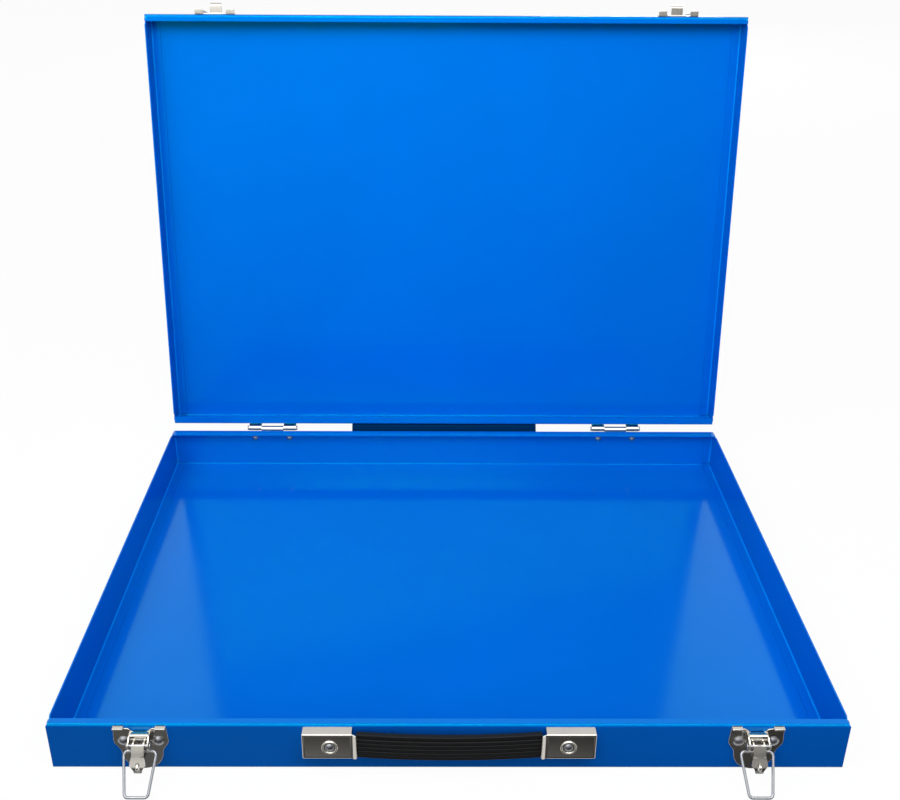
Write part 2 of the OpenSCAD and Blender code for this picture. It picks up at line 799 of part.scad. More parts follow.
// Shallow four-sided pyramid on y = 0 that points forward
module face_pyramid(w, h, rise) {
    intersection() {
        translate([0, 0, -h / 2])
            linear_extrude(h) polygon([[-w / 2, 0], [0, -rise], [w / 2, 0], [w / 2, past], [-w / 2, past]]);
        across(-w / 2, w / 2) polygon([[0, -h / 2], [-rise, 0], [0, h / 2], [past, h / 2], [past, -h / 2]]);
    }
}

// Flared lip at a cap's inner end, with rounded corners in front view
module cap_lip() {
    root_y = -cap_d + cap_t;
    path = [
        [cap_in + cap_t, root_y], [cap_in, root_y],
        [cap_in - lip_l / 2, root_y - lip_out / 3], [cap_in - lip_l, root_y - lip_out]
    ];
    intersection() {
        translate([0, 0, -cap_h / 2]) linear_extrude(cap_h) polygon(ribbon(path, cap_t));
        translate([cap_in + cap_t, 0, -cap_h / 2])
            forward(cap_d + 2 * lip_out) rounded_rect(2 * (lip_l + cap_t), cap_h, 0.8 * lip_l);
    }
}

module handle_cap(side) {
    color(NICKEL) translate([0, front_y, handle_z]) mirror([side == LEFT ? 1 : 0, 0, 0]) difference() {
        union() {
            difference() {
                union() {
                    translate([cap_in, -cap_d, -cap_h / 2]) cube([cap_w, cap_d, cap_h]);
                    translate([cap_mid, -cap_d, 0])
                        face_pyramid(cap_w - 2 * pyramid_margin, cap_h - 2 * pyramid_margin, pyramid_h);
                }
                translate([cap_in - past, -cap_d + cap_t, -cap_h / 2 + cap_t])
                    cube([cap_w - cap_t + past, cap_d, cap_h - 2 * cap_t]);
                translate([cap_rivet_x, -cap_d, 0])
                    rotate([90, 0, 0]) cylinder(r = boss_r - ring_w / 2, h = 2 * pyramid_h);
            }
            cap_lip();
            translate([cap_rivet_x, -cap_d + cap_t / 2, 0]) rotate([90, 0, 0]) difference() {
                cylinder(r = boss_r, h = cap_t / 2 + ring_h);
                translate([0, 0, -past]) cylinder(r = boss_r - ring_w, h = ring_h + 2 * past);
            }
        }
        translate([cap_rivet_x, -cap_d, 0]) round_y(cap_rivet_r + seat_gap, 2 * past);
    }
}

module handle_rivets() {
    color(ZINC) at_cap_rivets()
        translate([0, front_y - cap_d, 0]) rivet(cap_rivet_r, cap_d + sheet_t + washer_t, cap_head_r);
}

module handle_washers() {
    color(ZINC) at_cap_rivets() translate([0, front_y + sheet_t + washer_t, 0])
        rotate([90, 0, 0]) difference() {
            cylinder(r = washer_r, h = washer_t);
            translate([0, 0, -past]) cylinder(r = cap_rivet_r + seat_gap, h = washer_t + 2 * past);
        }
}

// Slab that follows the grip's bow: its face lies face_out from the wall at the middle
module bowed(x0, x1, face_out, thickness, z_mid, height) {
    outer_r = bow_r + face_out - grip_out;
    translate([0, front_y, handle_z + z_mid - height / 2]) linear_extrude(height) intersection() {
        translate([0, bow_r - grip_out]) difference() {
            circle(outer_r, $fn = arc_fn);
            circle(outer_r - thickness, $fn = arc_fn);
        }
        translate([x0, -2 * grip_out]) square([x1 - x0, 3 * grip_out]);
    }
}

// Ribbed grip between x0 and x1, with the strap's passage through it
module grip_piece(x0, x1) {
    pitch = grip_h / rib_count;
    edge = rib_h / 2;
    difference() {
        union() {
            bowed(x0, x1, grip_out - rib_h, grip_t - rib_h, 0, grip_h - 2 * edge);
            bowed(x0, x1, grip_out - rib_h - edge, grip_t - rib_h - 2 * edge, 0, grip_h);
            for (i = [0 : rib_count - 1])
                bowed(x0, x1, grip_out, rib_h + edge, (i + 0.5) * pitch - grip_h / 2, 0.62 * pitch);
        }
        bowed(x0 - past, x1 + past, strap_out + strap_t / 2 + seat_gap, strap_t + 2 * seat_gap,
            0, strap_h + 2 * seat_gap);
    }
}

module handle_grip() {
    color(BLACK) grip_piece(-grip_mid, grip_mid);
}

module strap_middle() {
    color(ZINC) bowed(-grip_mid, grip_mid, strap_out + strap_t / 2, strap_t, 0, strap_h);
}

module grip_end(side) {
    color(BLACK) mirror([side == LEFT ? 1 : 0, 0, 0]) grip_piece(grip_mid, grip_half);
}

// Flexing end of the strap, with its flat tail and slot in the cap
module strap_end(side) {
    color(ZINC) mirror([side == LEFT ? 1 : 0, 0, 0]) difference() {
        union() {
            bowed(grip_mid + split_gap, grip_half + merge, strap_out + strap_t / 2, strap_t, 0, strap_h);
            translate([grip_half, front_y - strap_end_out - strap_t / 2, handle_z - strap_h / 2])
                cube([grip_end_gap + tail_l, strap_t, strap_h]);
        }
        translate([cap_rivet_x - strap_slot / 2, front_y - cap_d, handle_z - cap_rivet_r - clear / 2])
            cube([strap_slot, cap_d, 2 * cap_rivet_r + clear]);
    }
}

base_pan();
base_end(LEFT);  // base_left_end
base_end(RIGHT);  // base_right_end
lid_stop();
base_leaf(LEFT);  // left_hinge_base_leaf
base_leaf(RIGHT);  // right_hinge_base_leaf
hinge_pin(LEFT);  // left_hinge_pin
hinge_pin(RIGHT);  // right_hinge_pin
hinge_base_rivets();
latch_plate(LEFT);  // left_latch_plate
latch_plate(RIGHT);  // right_latch_plate
latch_rivets();
lever_pin_piece(LEFT);  // left_lever_pin
lever_pin_piece(RIGHT);  // right_lever_pin
handle_cap(LEFT);  // left_handle_cap
handle_cap(RIGHT);  // right_handle_cap
handle_rivets();
handle_washers();
strap_end(LEFT);  // strap_left_end
strap_end(RIGHT);  // strap_right_end
lid_pan();
lid_end(LEFT);  // lid_left_end
lid_end(RIGHT);  // lid_right_end
lid_leaf(LEFT);  // left_hinge_lid_leaf
lid_leaf(RIGHT);  // right_hinge_lid_leaf
hinge_lid_rivets();
keeper(LEFT);  // left_keeper
keeper(RIGHT);  // right_keeper
keeper_rivets();
lever(LEFT);  // left_lever
lever(RIGHT);  // right_lever
bail(LEFT);  // left_bail
bail(RIGHT);  // right_bail
handle_grip();
strap_middle();
grip_end(LEFT);  // grip_left_end
grip_end(RIGHT);  // grip_right_end
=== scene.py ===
import json
import math

import bmesh
import bpy
from bpy.props import FloatProperty, FloatVectorProperty, IntProperty, PointerProperty
from mathutils import Matrix, Vector


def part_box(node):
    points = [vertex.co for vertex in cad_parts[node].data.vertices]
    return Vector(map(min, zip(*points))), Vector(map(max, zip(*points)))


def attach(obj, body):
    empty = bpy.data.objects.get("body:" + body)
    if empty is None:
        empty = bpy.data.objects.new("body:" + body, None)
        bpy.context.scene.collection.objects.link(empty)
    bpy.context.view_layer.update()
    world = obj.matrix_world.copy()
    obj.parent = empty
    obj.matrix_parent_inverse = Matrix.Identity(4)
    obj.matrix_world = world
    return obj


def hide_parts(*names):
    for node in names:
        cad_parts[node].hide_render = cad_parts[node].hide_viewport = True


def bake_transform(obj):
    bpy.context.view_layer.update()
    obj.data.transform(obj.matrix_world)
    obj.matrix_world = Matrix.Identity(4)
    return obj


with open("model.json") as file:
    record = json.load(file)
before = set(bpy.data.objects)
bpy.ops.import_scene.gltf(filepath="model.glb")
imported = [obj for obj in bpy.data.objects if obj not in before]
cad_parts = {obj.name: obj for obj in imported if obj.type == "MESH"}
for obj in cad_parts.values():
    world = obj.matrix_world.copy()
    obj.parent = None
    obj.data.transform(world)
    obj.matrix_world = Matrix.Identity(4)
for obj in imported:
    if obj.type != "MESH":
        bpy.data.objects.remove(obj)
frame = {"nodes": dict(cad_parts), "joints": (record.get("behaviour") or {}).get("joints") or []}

bl_info = {
    "name": "Metal Tool Case",
    "version": (1, 0, 0),
    "blender": (4, 5, 0),
    "location": "3D View > Sidebar > Tool Case",
    "description": "Dresses the packed sheet steel tool case: paint, plated fittings, handle and studio",
    "category": "Object",
}

MM = 0.001
SIDES = {"left": -1, "right": 1}
JOINTS = {j["name"]: j for j in frame["joints"]}
LID_AXIS = Vector(JOINTS["lid_hinge"]["pos_m"])
LID_ANGLE = math.radians(JOINTS["lid_hinge"]["range_deg"][1])
OPEN_LID = Matrix.Translation(LID_AXIS) @ Matrix.Rotation(-LID_ANGLE, 4, "X") @ Matrix.Translation(-LID_AXIS)
QUARTER_TURN = Matrix.Rotation(math.radians(90), 3, "Z")

PLATE_LOW, PLATE_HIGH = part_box("right_latch_plate")
CAP_LOW, CAP_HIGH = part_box("right_handle_cap")
GRIP_LOW, GRIP_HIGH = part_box("handle_grip")
PAN_LOW, PAN_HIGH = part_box("base_pan")
_, END_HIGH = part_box("grip_right_end")
LEAF_LOW, LEAF_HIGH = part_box("right_hinge_base_leaf")
FRONT = PAN_LOW.y
BACK = PAN_HIGH.y
RIM = PAN_HIGH.z
LATCH_X = (PLATE_LOW.x + PLATE_HIGH.x) / 2
HINGE_X = (LEAF_LOW.x + LEAF_HIGH.x) / 2
PIN = Vector(JOINTS["right_lever_hinge"]["pos_m"]) - Vector((0, FRONT, RIM))
BAIL_PIN = Vector(JOINTS["right_bail_hinge"]["pos_m"]) - Vector((0, FRONT, RIM))
GRIP_Z = (GRIP_LOW.z + GRIP_HIGH.z) / 2

SHEET = 0.8 * MM
RIM_GAP = 0.4 * MM
WIRE = 0.8 * MM
EAR_IN = 8.5 * MM
EAR_INSET = 0.8 * MM


# ---------------- sizes and colours


def length(name, description, default, low, high):
    return FloatProperty(name=name, description=description, default=default, min=low, max=high,
                         unit="LENGTH", subtype="DISTANCE", precision=5)


def colour(name, description, default):
    return FloatVectorProperty(name=name, description=description, default=default, size=3,
                               min=0.0, max=1.0, subtype="COLOR")


class CaseSizes(bpy.types.PropertyGroup):
    plate_width: length("Latch Plate Width", "Width of a latch plate and its keeper",
                        PLATE_HIGH.x - PLATE_LOW.x, 0.029, 0.034)
    plate_thickness: length("Latch Plate Thickness", "Thickness of the latch plates, levers and keepers",
                            1.0 * MM, 0.0008, 0.0012)
    edge_round: length("Edge Rounding", "Rounding of the stamped edges", 0.24 * MM, 0.0001, 0.0004)
    sheet_round: length("Sheet Edge Rounding", "Rounding of the sheet's cut edges", 0.28 * MM, 0.0001, 0.0003)
    wire_radius: length("Wire Radius", "Radius of the bail's wire", 0.8 * MM, 0.0006, 0.0009)
    bail_bend: length("Bail Bend", "Radius of the bends in the bail's wire", 2.2 * MM, 0.0014, 0.003)
    dome_height: length("Rivet Dome", "Height of the domed rivet heads", 1.5 * MM, 0.001, 0.0018)
    pyramid_rise: length("Cap Pyramid", "Height of the pyramid on a handle cap", 0.8 * MM, 0.0004, 0.0009)
    rib_height: length("Rib Height", "Height of the ribs along the grip", 0.8 * MM, 0.0004, 0.001)
    rib_count: IntProperty(name="Ribs", description="Number of ribs along the grip", default=6, min=4, max=8)


class CaseColours(bpy.types.PropertyGroup):
    paint: colour("Paint", "Powder coat of the case", (0.0, 0.13, 0.665))
    # Painted highlight: a paler blue for the folds and edges of the end panels, where light catches them.
    fold_highlight_paint: colour("Thin Paint", "Powder coat on the folds of the end panels", (0.0, 0.24, 0.88))
    # Painted shade: the lid stop is coloured nearly black for the shade it sits in between the lid and the
    # base.
    stop: colour("Stop", "Dark coat of the lid stop", (0.0, 0.016, 0.07))
    nickel: colour("Nickel", "Bright plating of the latches and caps", (0.72, 0.69, 0.63))
    zinc: colour("Zinc", "Half matt plating of the wire and rivets", (0.36, 0.37, 0.40))
    plastic: colour("Plastic", "Black plastic of the grip", (0.006, 0.0065, 0.0075))
    floor: colour("Floor", "Pale floor and backdrop", (1.0, 1.0, 1.0))


# ---------------- sheet metal and wire


def everything(metal):
    return metal.verts[:] + metal.edges[:] + metal.faces[:]


def verts_of(geom):
    return [g for g in geom if isinstance(g, bmesh.types.BMVert)]


def edges_of(geom):
    return [g for g in geom if isinstance(g, bmesh.types.BMEdge)]


def face_outwards(metal):
    bmesh.ops.recalc_face_normals(metal, faces=metal.faces[:])
    return metal


def weld(metal, distance):
    bmesh.ops.remove_doubles(metal, verts=metal.verts[:], dist=distance)


def round_off(metal, geom, width, segments, affect="EDGES"):
    bmesh.ops.bevel(metal, geom=geom, offset=width, segments=segments, profile=0.5, affect=affect,
                    material=-1, clamp_overlap=True)


def cut_across(metal, spot, way):
    """Adds edges where a plane through the spot crosses the metal."""
    bmesh.ops.bisect_plane(metal, geom=everything(metal), dist=1e-7, plane_co=spot, plane_no=way)


def in_mm(*rows):
    return [tuple(value * MM for value in row) for row in rows]


def near_pin(pin, *rows):
    """Corners in Y and Z with their rounding, in millimetres from the middle of a pin."""
    return [(pin.y + y * MM, pin.z + z * MM, cut * MM) for y, z, cut in rows]


def both_sides(right):
    """Corners of a symmetric blank, from those of its right side."""
    left = [(-x, z, cut) for x, z, cut in reversed(right)]
    return left[-1:] + right + left[:-1]


def draw_blank(corners):
    """Flat blank in the XZ plane. A corner is (x, z, rounding)."""
    blank = bmesh.new()
    verts = [blank.verts.new((x, 0, z)) for x, z, _ in corners]
    blank.faces.new(verts)
    for cut in sorted({c[2] for c in corners} - {0}):
        round_off(blank, [v for v, c in zip(verts, corners) if c[2] == cut], cut, 6, "VERTICES")
    return blank


def draw_half(corners, slot=None):
    """Flat blank, mirrored from the corners of its right side, which run downwards.

    A slot is (z of its middle, radius, half of its straight run)."""
    outline = [(0, corners[0][1], 0), *corners, (0, corners[-1][1], 0)]
    if slot:
        middle, radius, run = slot
        steps = 12
        for i in range(steps + 1):
            turn = math.radians(180 - 180 / steps * i)
            x = radius * math.sin(turn) if 0 < i < steps else 0
            straight = math.copysign(run, i - (steps - 1) / 2)
            outline.append((x, middle + straight + radius * math.cos(turn), 0))
    blank = draw_blank(outline)
    bmesh.ops.mirror(blank, geom=everything(blank), axis="X", merge_dist=1e-6)
    return face_outwards(blank)


def thicken(blank, near, far):
    """Gives a flat blank its thickness along Y, from near to far."""
    bmesh.ops.translate(blank, verts=blank.verts[:], vec=(0, near, 0))
    grown = bmesh.ops.extrude_face_region(blank, geom=blank.faces[:])["geom"]
    bmesh.ops.translate(blank, verts=verts_of(grown), vec=(0, far - near, 0))
    return face_outwards(blank)


def soften(metal, width, sharp=0.55):
    """Rounds every edge that turns by more than the sharp angle."""
    edges = [e for e in metal.edges if len(e.link_faces) == 2 and e.calc_face_angle(0) > sharp]
    round_off(metal, edges, width, 2)
    return metal


def side_plate(corners, left, right, edge):
    """Stamped plate that faces sideways: its corners are (y, z, rounding)."""
    plate = soften(thicken(draw_blank(corners), -right, -left), edge)
    bmesh.ops.rotate(plate, verts=plate.verts[:], cent=(0, 0, 0), matrix=QUARTER_TURN)
    return plate


def folded_ears(low, high, reach, half, edge):
    """The two ears that fold forwards from a plate, between two heights."""
    cut = 0.25 * MM
    corners = [(0.0, low, 0), (0.0, high, 0), (-reach, high, cut), (-reach, low, cut)]
    return mirrored(side_plate(corners, EAR_IN, half - EAR_INSET, edge))


def fold_path(start, heading, folds):
    """Line in Y and Z. A fold is (run,) or (radius, degrees), with left turns positive."""
    point, angle = Vector(start), math.radians(heading)
    line = [point.copy()]
    for fold in folds:
        if len(fold) == 1:
            point = point + fold[0] * Vector((math.cos(angle), math.sin(angle)))
            line.append(point.copy())
            continue
        radius, turn = fold[0], math.radians(fold[1])
        steps = max(2, round(abs(fold[1]) / 9))
        side = math.copysign(1, turn)
        centre = point + side * radius * Vector((-math.sin(angle), math.cos(angle)))
        for _ in range(steps):
            angle += turn / steps
            line.append(centre - side * radius * Vector((-math.sin(angle), math.cos(angle))))
        point = line[-1].copy()
    return line


def marks_along(line):
    """How far along a line each of its points is."""
    marks = [0.0]
    for a, b in zip(line, line[1:]):
        marks.append(marks[-1] + (b - a).length)
    return marks


def lay_along(blank, line, thickness, edge, fold=None):
    """Bends a flat blank along a line in Y and Z, and thickens it to the line's left.

    The blank is drawn downwards from z = 0. A fold is (half width, radius, length): the long outer
    edges that far from the middle get that radius."""
    marks = marks_along(line)
    for mark in marks[1:-1]:
        cut_across(blank, (0, 0, -mark), (0, 0, 1))
    grown = bmesh.ops.extrude_face_region(blank, geom=blank.faces[:])["geom"]
    bmesh.ops.translate(blank, verts=verts_of(grown), vec=(0, 1, 0))
    bends = []
    if fold:
        half, radius, reach = fold
        bends = [e for e in blank.edges if all(
            v.co.y < 0.5 and abs(abs(v.co.x) - half) < 1e-6 and -v.co.z < reach for v in e.verts)]
    headings = [(b - a).normalized() for a, b in zip(line, line[1:])]
    for v in blank.verts:
        along = min(max(-v.co.z, 0.0), marks[-1])
        i = max(k for k in range(len(headings)) if marks[k] <= along + 1e-9)
        share = (along - marks[i]) / (marks[i + 1] - marks[i])
        way = headings[i]
        if share < 1e-4:
            way = (headings[max(i - 1, 0)] + way).normalized()
        elif share > 1 - 1e-4:
            way = (way + headings[min(i + 1, len(headings) - 1)]).normalized()
        spot = line[i].lerp(line[i + 1], share)
        if v.co.y > 0.5:
            spot = spot + thickness * Vector((-way.y, way.x))
        v.co = (v.co.x, spot.x, spot.y)
    face_outwards(blank)
    if bends:
        round_off(blank, bends, radius, 5)
    return soften(blank, edge)


def bend_wire(corners, radius, bend, sides=14):
    """Closed wire loop in the XY plane through corners given anticlockwise."""
    wire = bmesh.new()
    points = [Vector((x, y, 0)) for x, y in corners]
    count = len(points)
    ways = [(points[(i + 1) % count] - points[i]).normalized() for i in range(count)]
    turns = [ways[i - 1].angle(ways[i]) for i in range(count)]
    cuts = [bend * math.tan(t / 2) for t in turns]
    start = points[0] + ways[0] * cuts[0]
    place = Matrix.Translation(start) @ ways[0].to_track_quat("Z", "Y").to_matrix().to_4x4()
    bmesh.ops.create_circle(wire, segments=sides, radius=radius, matrix=place)
    ring = wire.edges[:]
    spot = start.copy()
    for i in range(count):
        j = (i + 1) % count
        run = (points[j] - points[i]).length - cuts[i] - cuts[j]
        grown = bmesh.ops.extrude_edge_only(wire, edges=ring)["geom"]
        moved = verts_of(grown)
        bmesh.ops.translate(wire, verts=moved, vec=ways[i] * run)
        spot += ways[i] * run
        side = Vector((-ways[i].y, ways[i].x, 0))
        spun = bmesh.ops.spin(wire, geom=moved + edges_of(grown), cent=spot + bend * side, axis=(0, 0, 1),
                              angle=turns[j], steps=8, use_duplicate=False)["geom_last"]
        ring = edges_of(spun)
        spot += bend * side - bend * (Matrix.Rotation(turns[j], 3, "Z") @ side)
    weld(wire, 1e-6)
    return face_outwards(wire)


def turn_profile(profile, centre, axis=(0, -1, 0), steps=36):
    """Turned piece. The profile is (radius, height along the axis)."""
    lathe = bmesh.new()
    verts = [lathe.verts.new((r, 0, h)) for r, h in profile]
    edges = [lathe.edges.new(pair) for pair in zip(verts, verts[1:])]
    bmesh.ops.spin(lathe, geom=verts + edges, cent=(0, 0, 0), axis=(0, 0, 1), angle=2 * math.pi,
                   steps=steps, use_merge=True, use_duplicate=False)
    weld(lathe, 1e-7)
    turn = Vector((0, 0, 1)).rotation_difference(Vector(axis)).to_matrix().to_4x4()
    bmesh.ops.transform(lathe, verts=lathe.verts[:], matrix=Matrix.Translation(centre) @ turn)
    return face_outwards(lathe)


def turn_all(profile, places):
    """The same turned piece at several places."""
    return merge(*[turn_profile(profile, place) for place in places])


def four_places(x, spread, y, z):
    """Two places side by side at the left fitting, and two at the right one."""
    return [(s * x + e * spread, y, z) for s in (-1, 1) for e in (-1, 1)]


def rounded_profile(corners, cut, steps=4):
    """Rounds the inner corners of a turned profile."""
    points = [Vector(c) for c in corners]
    line = [points[0]]
    for before, corner, after in zip(points, points[1:], points[2:]):
        a = corner + (before - corner).normalized() * min(cut, (before - corner).length / 2)
        b = corner + (after - corner).normalized() * min(cut, (after - corner).length / 2)
        for i in range(steps + 1):
            t = i / steps
            line.append((1 - t) ** 2 * a + 2 * t * (1 - t) * corner + t * t * b)
    return line + [points[-1]]


RIVET_TAIL = in_mm((-0.15, 0), (0, -0.2), (-0.1, -0.65), (-0.45, -0.8))


def rivet_profile(shank, grip, head, dome):
    """Half outline of a set rivet: dome above zero, shank and plain head below."""
    ball = (head * head + dome * dome) / (2 * dome)
    steps = 9
    widest = math.asin(min(1, head / ball))
    rise = [(ball * math.sin(i / steps * widest), dome - ball + ball * math.cos(i / steps * widest))
            for i in range(steps + 1)]
    rise[0] = (0, dome)
    lip = 0.12 * dome
    rise = [(r, max(h, lip)) for r, h in rise] + [(head, 0.0), (shank, 0.0), (shank, -grip)]
    tail = [(shank + 0.7 * MM + r, h - grip) for r, h in RIVET_TAIL]
    return rise + tail + [(0, tail[-1][1])]


def plate_rivets(sizes, z):
    """The four rivets of both latch plates, or of both keepers."""
    shank, head, spread, t = 1.6 * MM, 3.2 * MM, 9.5 * MM, sizes.plate_thickness
    profile = rivet_profile(shank, SHEET + t, head, sizes.dome_height)
    return turn_all(profile, four_places(LATCH_X, spread, FRONT - t, z))


def headed_pin(radius, head, run, head_height, cut, centre):
    """Pin along X with a flat head at each end. The run is from its middle to a head."""
    half = [(0, run + head_height), (head, run + head_height), (head, run), (radius, run)]
    corners = half + [(r, -h) for r, h in reversed(half)]
    return turn_profile(rounded_profile(corners, cut), centre, (1, 0, 0), 24)


def merge(*parts):
    """Puts finished parts into one mesh."""
    whole = bmesh.new()
    for part in parts:
        mesh = bpy.data.meshes.new("part")
        part.to_mesh(mesh)
        whole.from_mesh(mesh)
        bpy.data.meshes.remove(mesh)
        part.free()
    return whole


def mirrored(part):
    """A part and its mirror image to the other side of x = 0."""
    twin = part.copy()
    bmesh.ops.scale(twin, verts=twin.verts[:], vec=(-1, 1, 1))
    return merge(part, face_outwards(twin))


def put(name, data, place=(0, 0, 0), turn=(0, 0, 0)):
    """Puts a mesh, lamp or camera into the scene."""
    made = bpy.data.objects.new(name, data)
    made.location = place
    made.rotation_euler = turn
    bpy.context.scene.collection.objects.link(made)
    return made


def finish_piece(metal, name, material, body=None, nodes=(), move=None):
    """Makes the object with its place in its mesh, hangs it on its body if given, and hides its CAD nodes."""
    if move is not None:
        bmesh.ops.transform(metal, verts=metal.verts[:], matrix=move)
        if move.determinant() < 0:
            bmesh.ops.reverse_faces(metal, faces=metal.faces[:])
    mesh = bpy.data.meshes.new(name)
    for face in metal.faces:
        face.smooth = True
    metal.to_mesh(mesh)
    metal.free()
    mesh.set_sharp_from_angle(angle=math.radians(50))
    piece = put(name, mesh)
    mesh.materials.append(material)
    weigh = piece.modifiers.new("flat faces stay flat", "WEIGHTED_NORMAL")
    weigh.keep_sharp = True
    if body:
        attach(piece, body)
    if nodes:
        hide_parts(*nodes)
    return piece


def at_latch(side):
    return Matrix.Translation((side * LATCH_X, FRONT, RIM))


# ---------------- finishes


def node(tree, kind, place, **values):
    """Adds a node. A value is its input's, or else its property's."""
    made = tree.nodes.new(kind)
    made.location = place
    for key, value in values.items():
        if key in made.inputs:
            made.inputs[key].default_value = value
        else:
            setattr(made, key, value)
    return made


def link(tree, *pairs):
    """Links nodes. A pair is (from, its output, to, its input)."""
    for source, output, target, socket in pairs:
        tree.links.new(source.outputs[output], target.inputs[socket])


def mix_colours(tree, place, factor):
    """Mix node for colours: its two inputs and its output."""
    made = node(tree, "ShaderNodeMix", place, data_type="RGBA")
    tree.links.new(factor, made.inputs["Factor"])
    first, second = [s for s in made.inputs if s.type == "RGBA"]
    return first, second, next(s for s in made.outputs if s.type == "RGBA")


def effect(name, inputs, outputs):
    """Empty shader node group with float inputs and named outputs."""
    group = bpy.data.node_groups.new(name, "ShaderNodeTree")
    for label, default in inputs:
        socket = group.interface.new_socket(label, in_out="INPUT", socket_type="NodeSocketFloat")
        socket.default_value = default
    for label in outputs:
        group.interface.new_socket(label, in_out="OUTPUT", socket_type="NodeSocketFloat")
    return group, node(group, "NodeGroupInput", (-600, 0)), node(group, "NodeGroupOutput", (600, 0))


def skin_texture():
    """Fine raised skin of a coat: a height that changes over the surface."""
    if "coat skin" in bpy.data.node_groups:
        return bpy.data.node_groups["coat skin"]
    group, given, out = effect("coat skin", [("Scale", 400.0), ("Fine", 0.3)], ["Height"])
    place = node(group, "ShaderNodeTexCoord", (-800, 200))
    wide = node(group, "ShaderNodeTexNoise", (-400, 200), Detail=2.0, Roughness=0.45)
    tight = node(group, "ShaderNodeTexNoise", (-400, -100), Detail=1.0)
    triple = node(group, "ShaderNodeMath", (-600, -150), operation="MULTIPLY")
    triple.inputs[1].default_value = 3.1
    blend = node(group, "ShaderNodeMath", (0, 0), operation="MULTIPLY_ADD")
    link(group, (place, "Object", wide, "Vector"), (place, "Object", tight, "Vector"),
         (given, "Scale", wide, "Scale"), (given, "Scale", triple, 0), (triple, 0, tight, "Scale"),
         (tight, "Fac", blend, 0), (given, "Fine", blend, 1), (wide, "Fac", blend, 2),
         (blend, 0, out, "Height"))
    return group


def uneven_sheen():
    """Slow change over a surface: a value from Low to High."""
    if "uneven sheen" in bpy.data.node_groups:
        return bpy.data.node_groups["uneven sheen"]
    group, given, out = effect("uneven sheen", [("Scale", 20.0), ("Low", 0.2), ("High", 0.3)], ["Value"])
    place = node(group, "ShaderNodeTexCoord", (-800, 0))
    cloud = node(group, "ShaderNodeTexNoise", (-400, 0), Detail=5.0, Roughness=0.6, Distortion=0.4)
    spread = node(group, "ShaderNodeMapRange", (0, 0), **{"From Min": 0.32, "From Max": 0.68})
    link(group, (place, "Object", cloud, "Vector"), (given, "Scale", cloud, "Scale"),
         (cloud, "Fac", spread, "Value"), (given, "Low", spread, "To Min"),
         (given, "High", spread, "To Max"), (spread, "Result", out, "Value"))
    return group


def drawn_lines():
    """Faint lines that rolling and stamping leave, along X."""
    if "drawn lines" in bpy.data.node_groups:
        return bpy.data.node_groups["drawn lines"]
    group, given, out = effect("drawn lines", [("Scale", 900.0)], ["Height"])
    place = node(group, "ShaderNodeTexCoord", (-900, 0))
    stretch = node(group, "ShaderNodeMapping", (-700, 0), Scale=(0.04, 1.0, 1.0))
    grain = node(group, "ShaderNodeTexNoise", (-400, 0), Detail=3.0, Roughness=0.6)
    link(group, (place, "Object", stretch, "Vector"), (stretch, "Vector", grain, "Vector"),
         (given, "Scale", grain, "Scale"), (grain, "Fac", out, "Height"))
    return group


def finish(name, base, metallic, gloss, skin, bump, **shader):
    """Material with a slightly uneven colour, gloss and skin.

    gloss is (scale, lowest and highest roughness), skin is (group, inputs), bump its depth."""
    if name in bpy.data.materials:
        return bpy.data.materials[name]
    material = bpy.data.materials.new(name)
    material.use_nodes = True
    tree = material.node_tree
    shade = tree.nodes["Principled BSDF"]
    shade.inputs["Metallic"].default_value = metallic
    for key, value in shader.items():
        shade.inputs[key].default_value = value
    tint = node(tree, "ShaderNodeGroup", (-700, 300), node_tree=uneven_sheen(), Scale=9.0, Low=0.0, High=1.0)
    darker, lighter, mixed = mix_colours(tree, (-400, 300), tint.outputs["Value"])
    for socket, share in ((darker, 0.97), (lighter, 1.03)):
        socket.default_value = (*[min(1, c * share) for c in base], 1)
    tree.links.new(mixed, shade.inputs["Base Color"])
    sheen = node(tree, "ShaderNodeGroup", (-400, 0), node_tree=uneven_sheen(),
                 **dict(zip(("Scale", "Low", "High"), gloss)))
    relief = node(tree, "ShaderNodeGroup", (-700, -300), node_tree=skin[0], **skin[1])
    raised = node(tree, "ShaderNodeBump", (-300, -300), Strength=1.0, Distance=bump)
    link(tree, (sheen, "Value", shade, "Roughness"), (relief, "Height", raised, "Height"),
         (raised, "Normal", shade, "Normal"))
    return material


def colours():
    return bpy.context.scene.case_colours


def paint():
    """Powder coat, with a painted highlight: paler along the folds and edges of the end panels."""
    if "powder coat" in bpy.data.materials:
        return bpy.data.materials["powder coat"]
    coated = finish("powder coat", colours().paint, 0.0, (14.0, 0.10, 0.14),
                    (skin_texture(), {"Scale": 700.0, "Fine": 0.2}), 0.009 * MM,
                    **{"IOR": 1.55, "Specular IOR Level": 0.75, "Specular Tint": (0.0, 1.0, 0.45, 1.0)})
    tree = coated.node_tree
    base = tree.nodes["Principled BSDF"].inputs["Base Color"]
    # Painted highlight: the marked faces along the folds take the paler colour.
    mask = node(tree, "ShaderNodeAttribute", (-400, 600), attribute_name="painted_fold_highlight")
    full, painted_highlight, mixed = mix_colours(tree, (-150, 400), mask.outputs["Fac"])
    tree.links.new(base.links[0].from_socket, full)
    painted_highlight.default_value = (*colours().fold_highlight_paint, 1)
    tree.links.new(mixed, base)
    return coated


# Painted shade: a nearly black blue coat that stands for the shade over the lid stop.
def stop_painted_shade():
    return finish("lid stop painted shade", colours().stop, 0.0, (14.0, 0.30, 0.36),
                  (skin_texture(), {"Scale": 700.0, "Fine": 0.2}), 0.005 * MM,
                  **{"Specular IOR Level": 0.06, "Specular Tint": (0.0, 0.5, 1.0, 1.0)})


def nickel():
    return finish("nickel plate", colours().nickel, 1.0, (60.0, 0.12, 0.20),
                  (drawn_lines(), {"Scale": 1500.0}), 0.003 * MM)


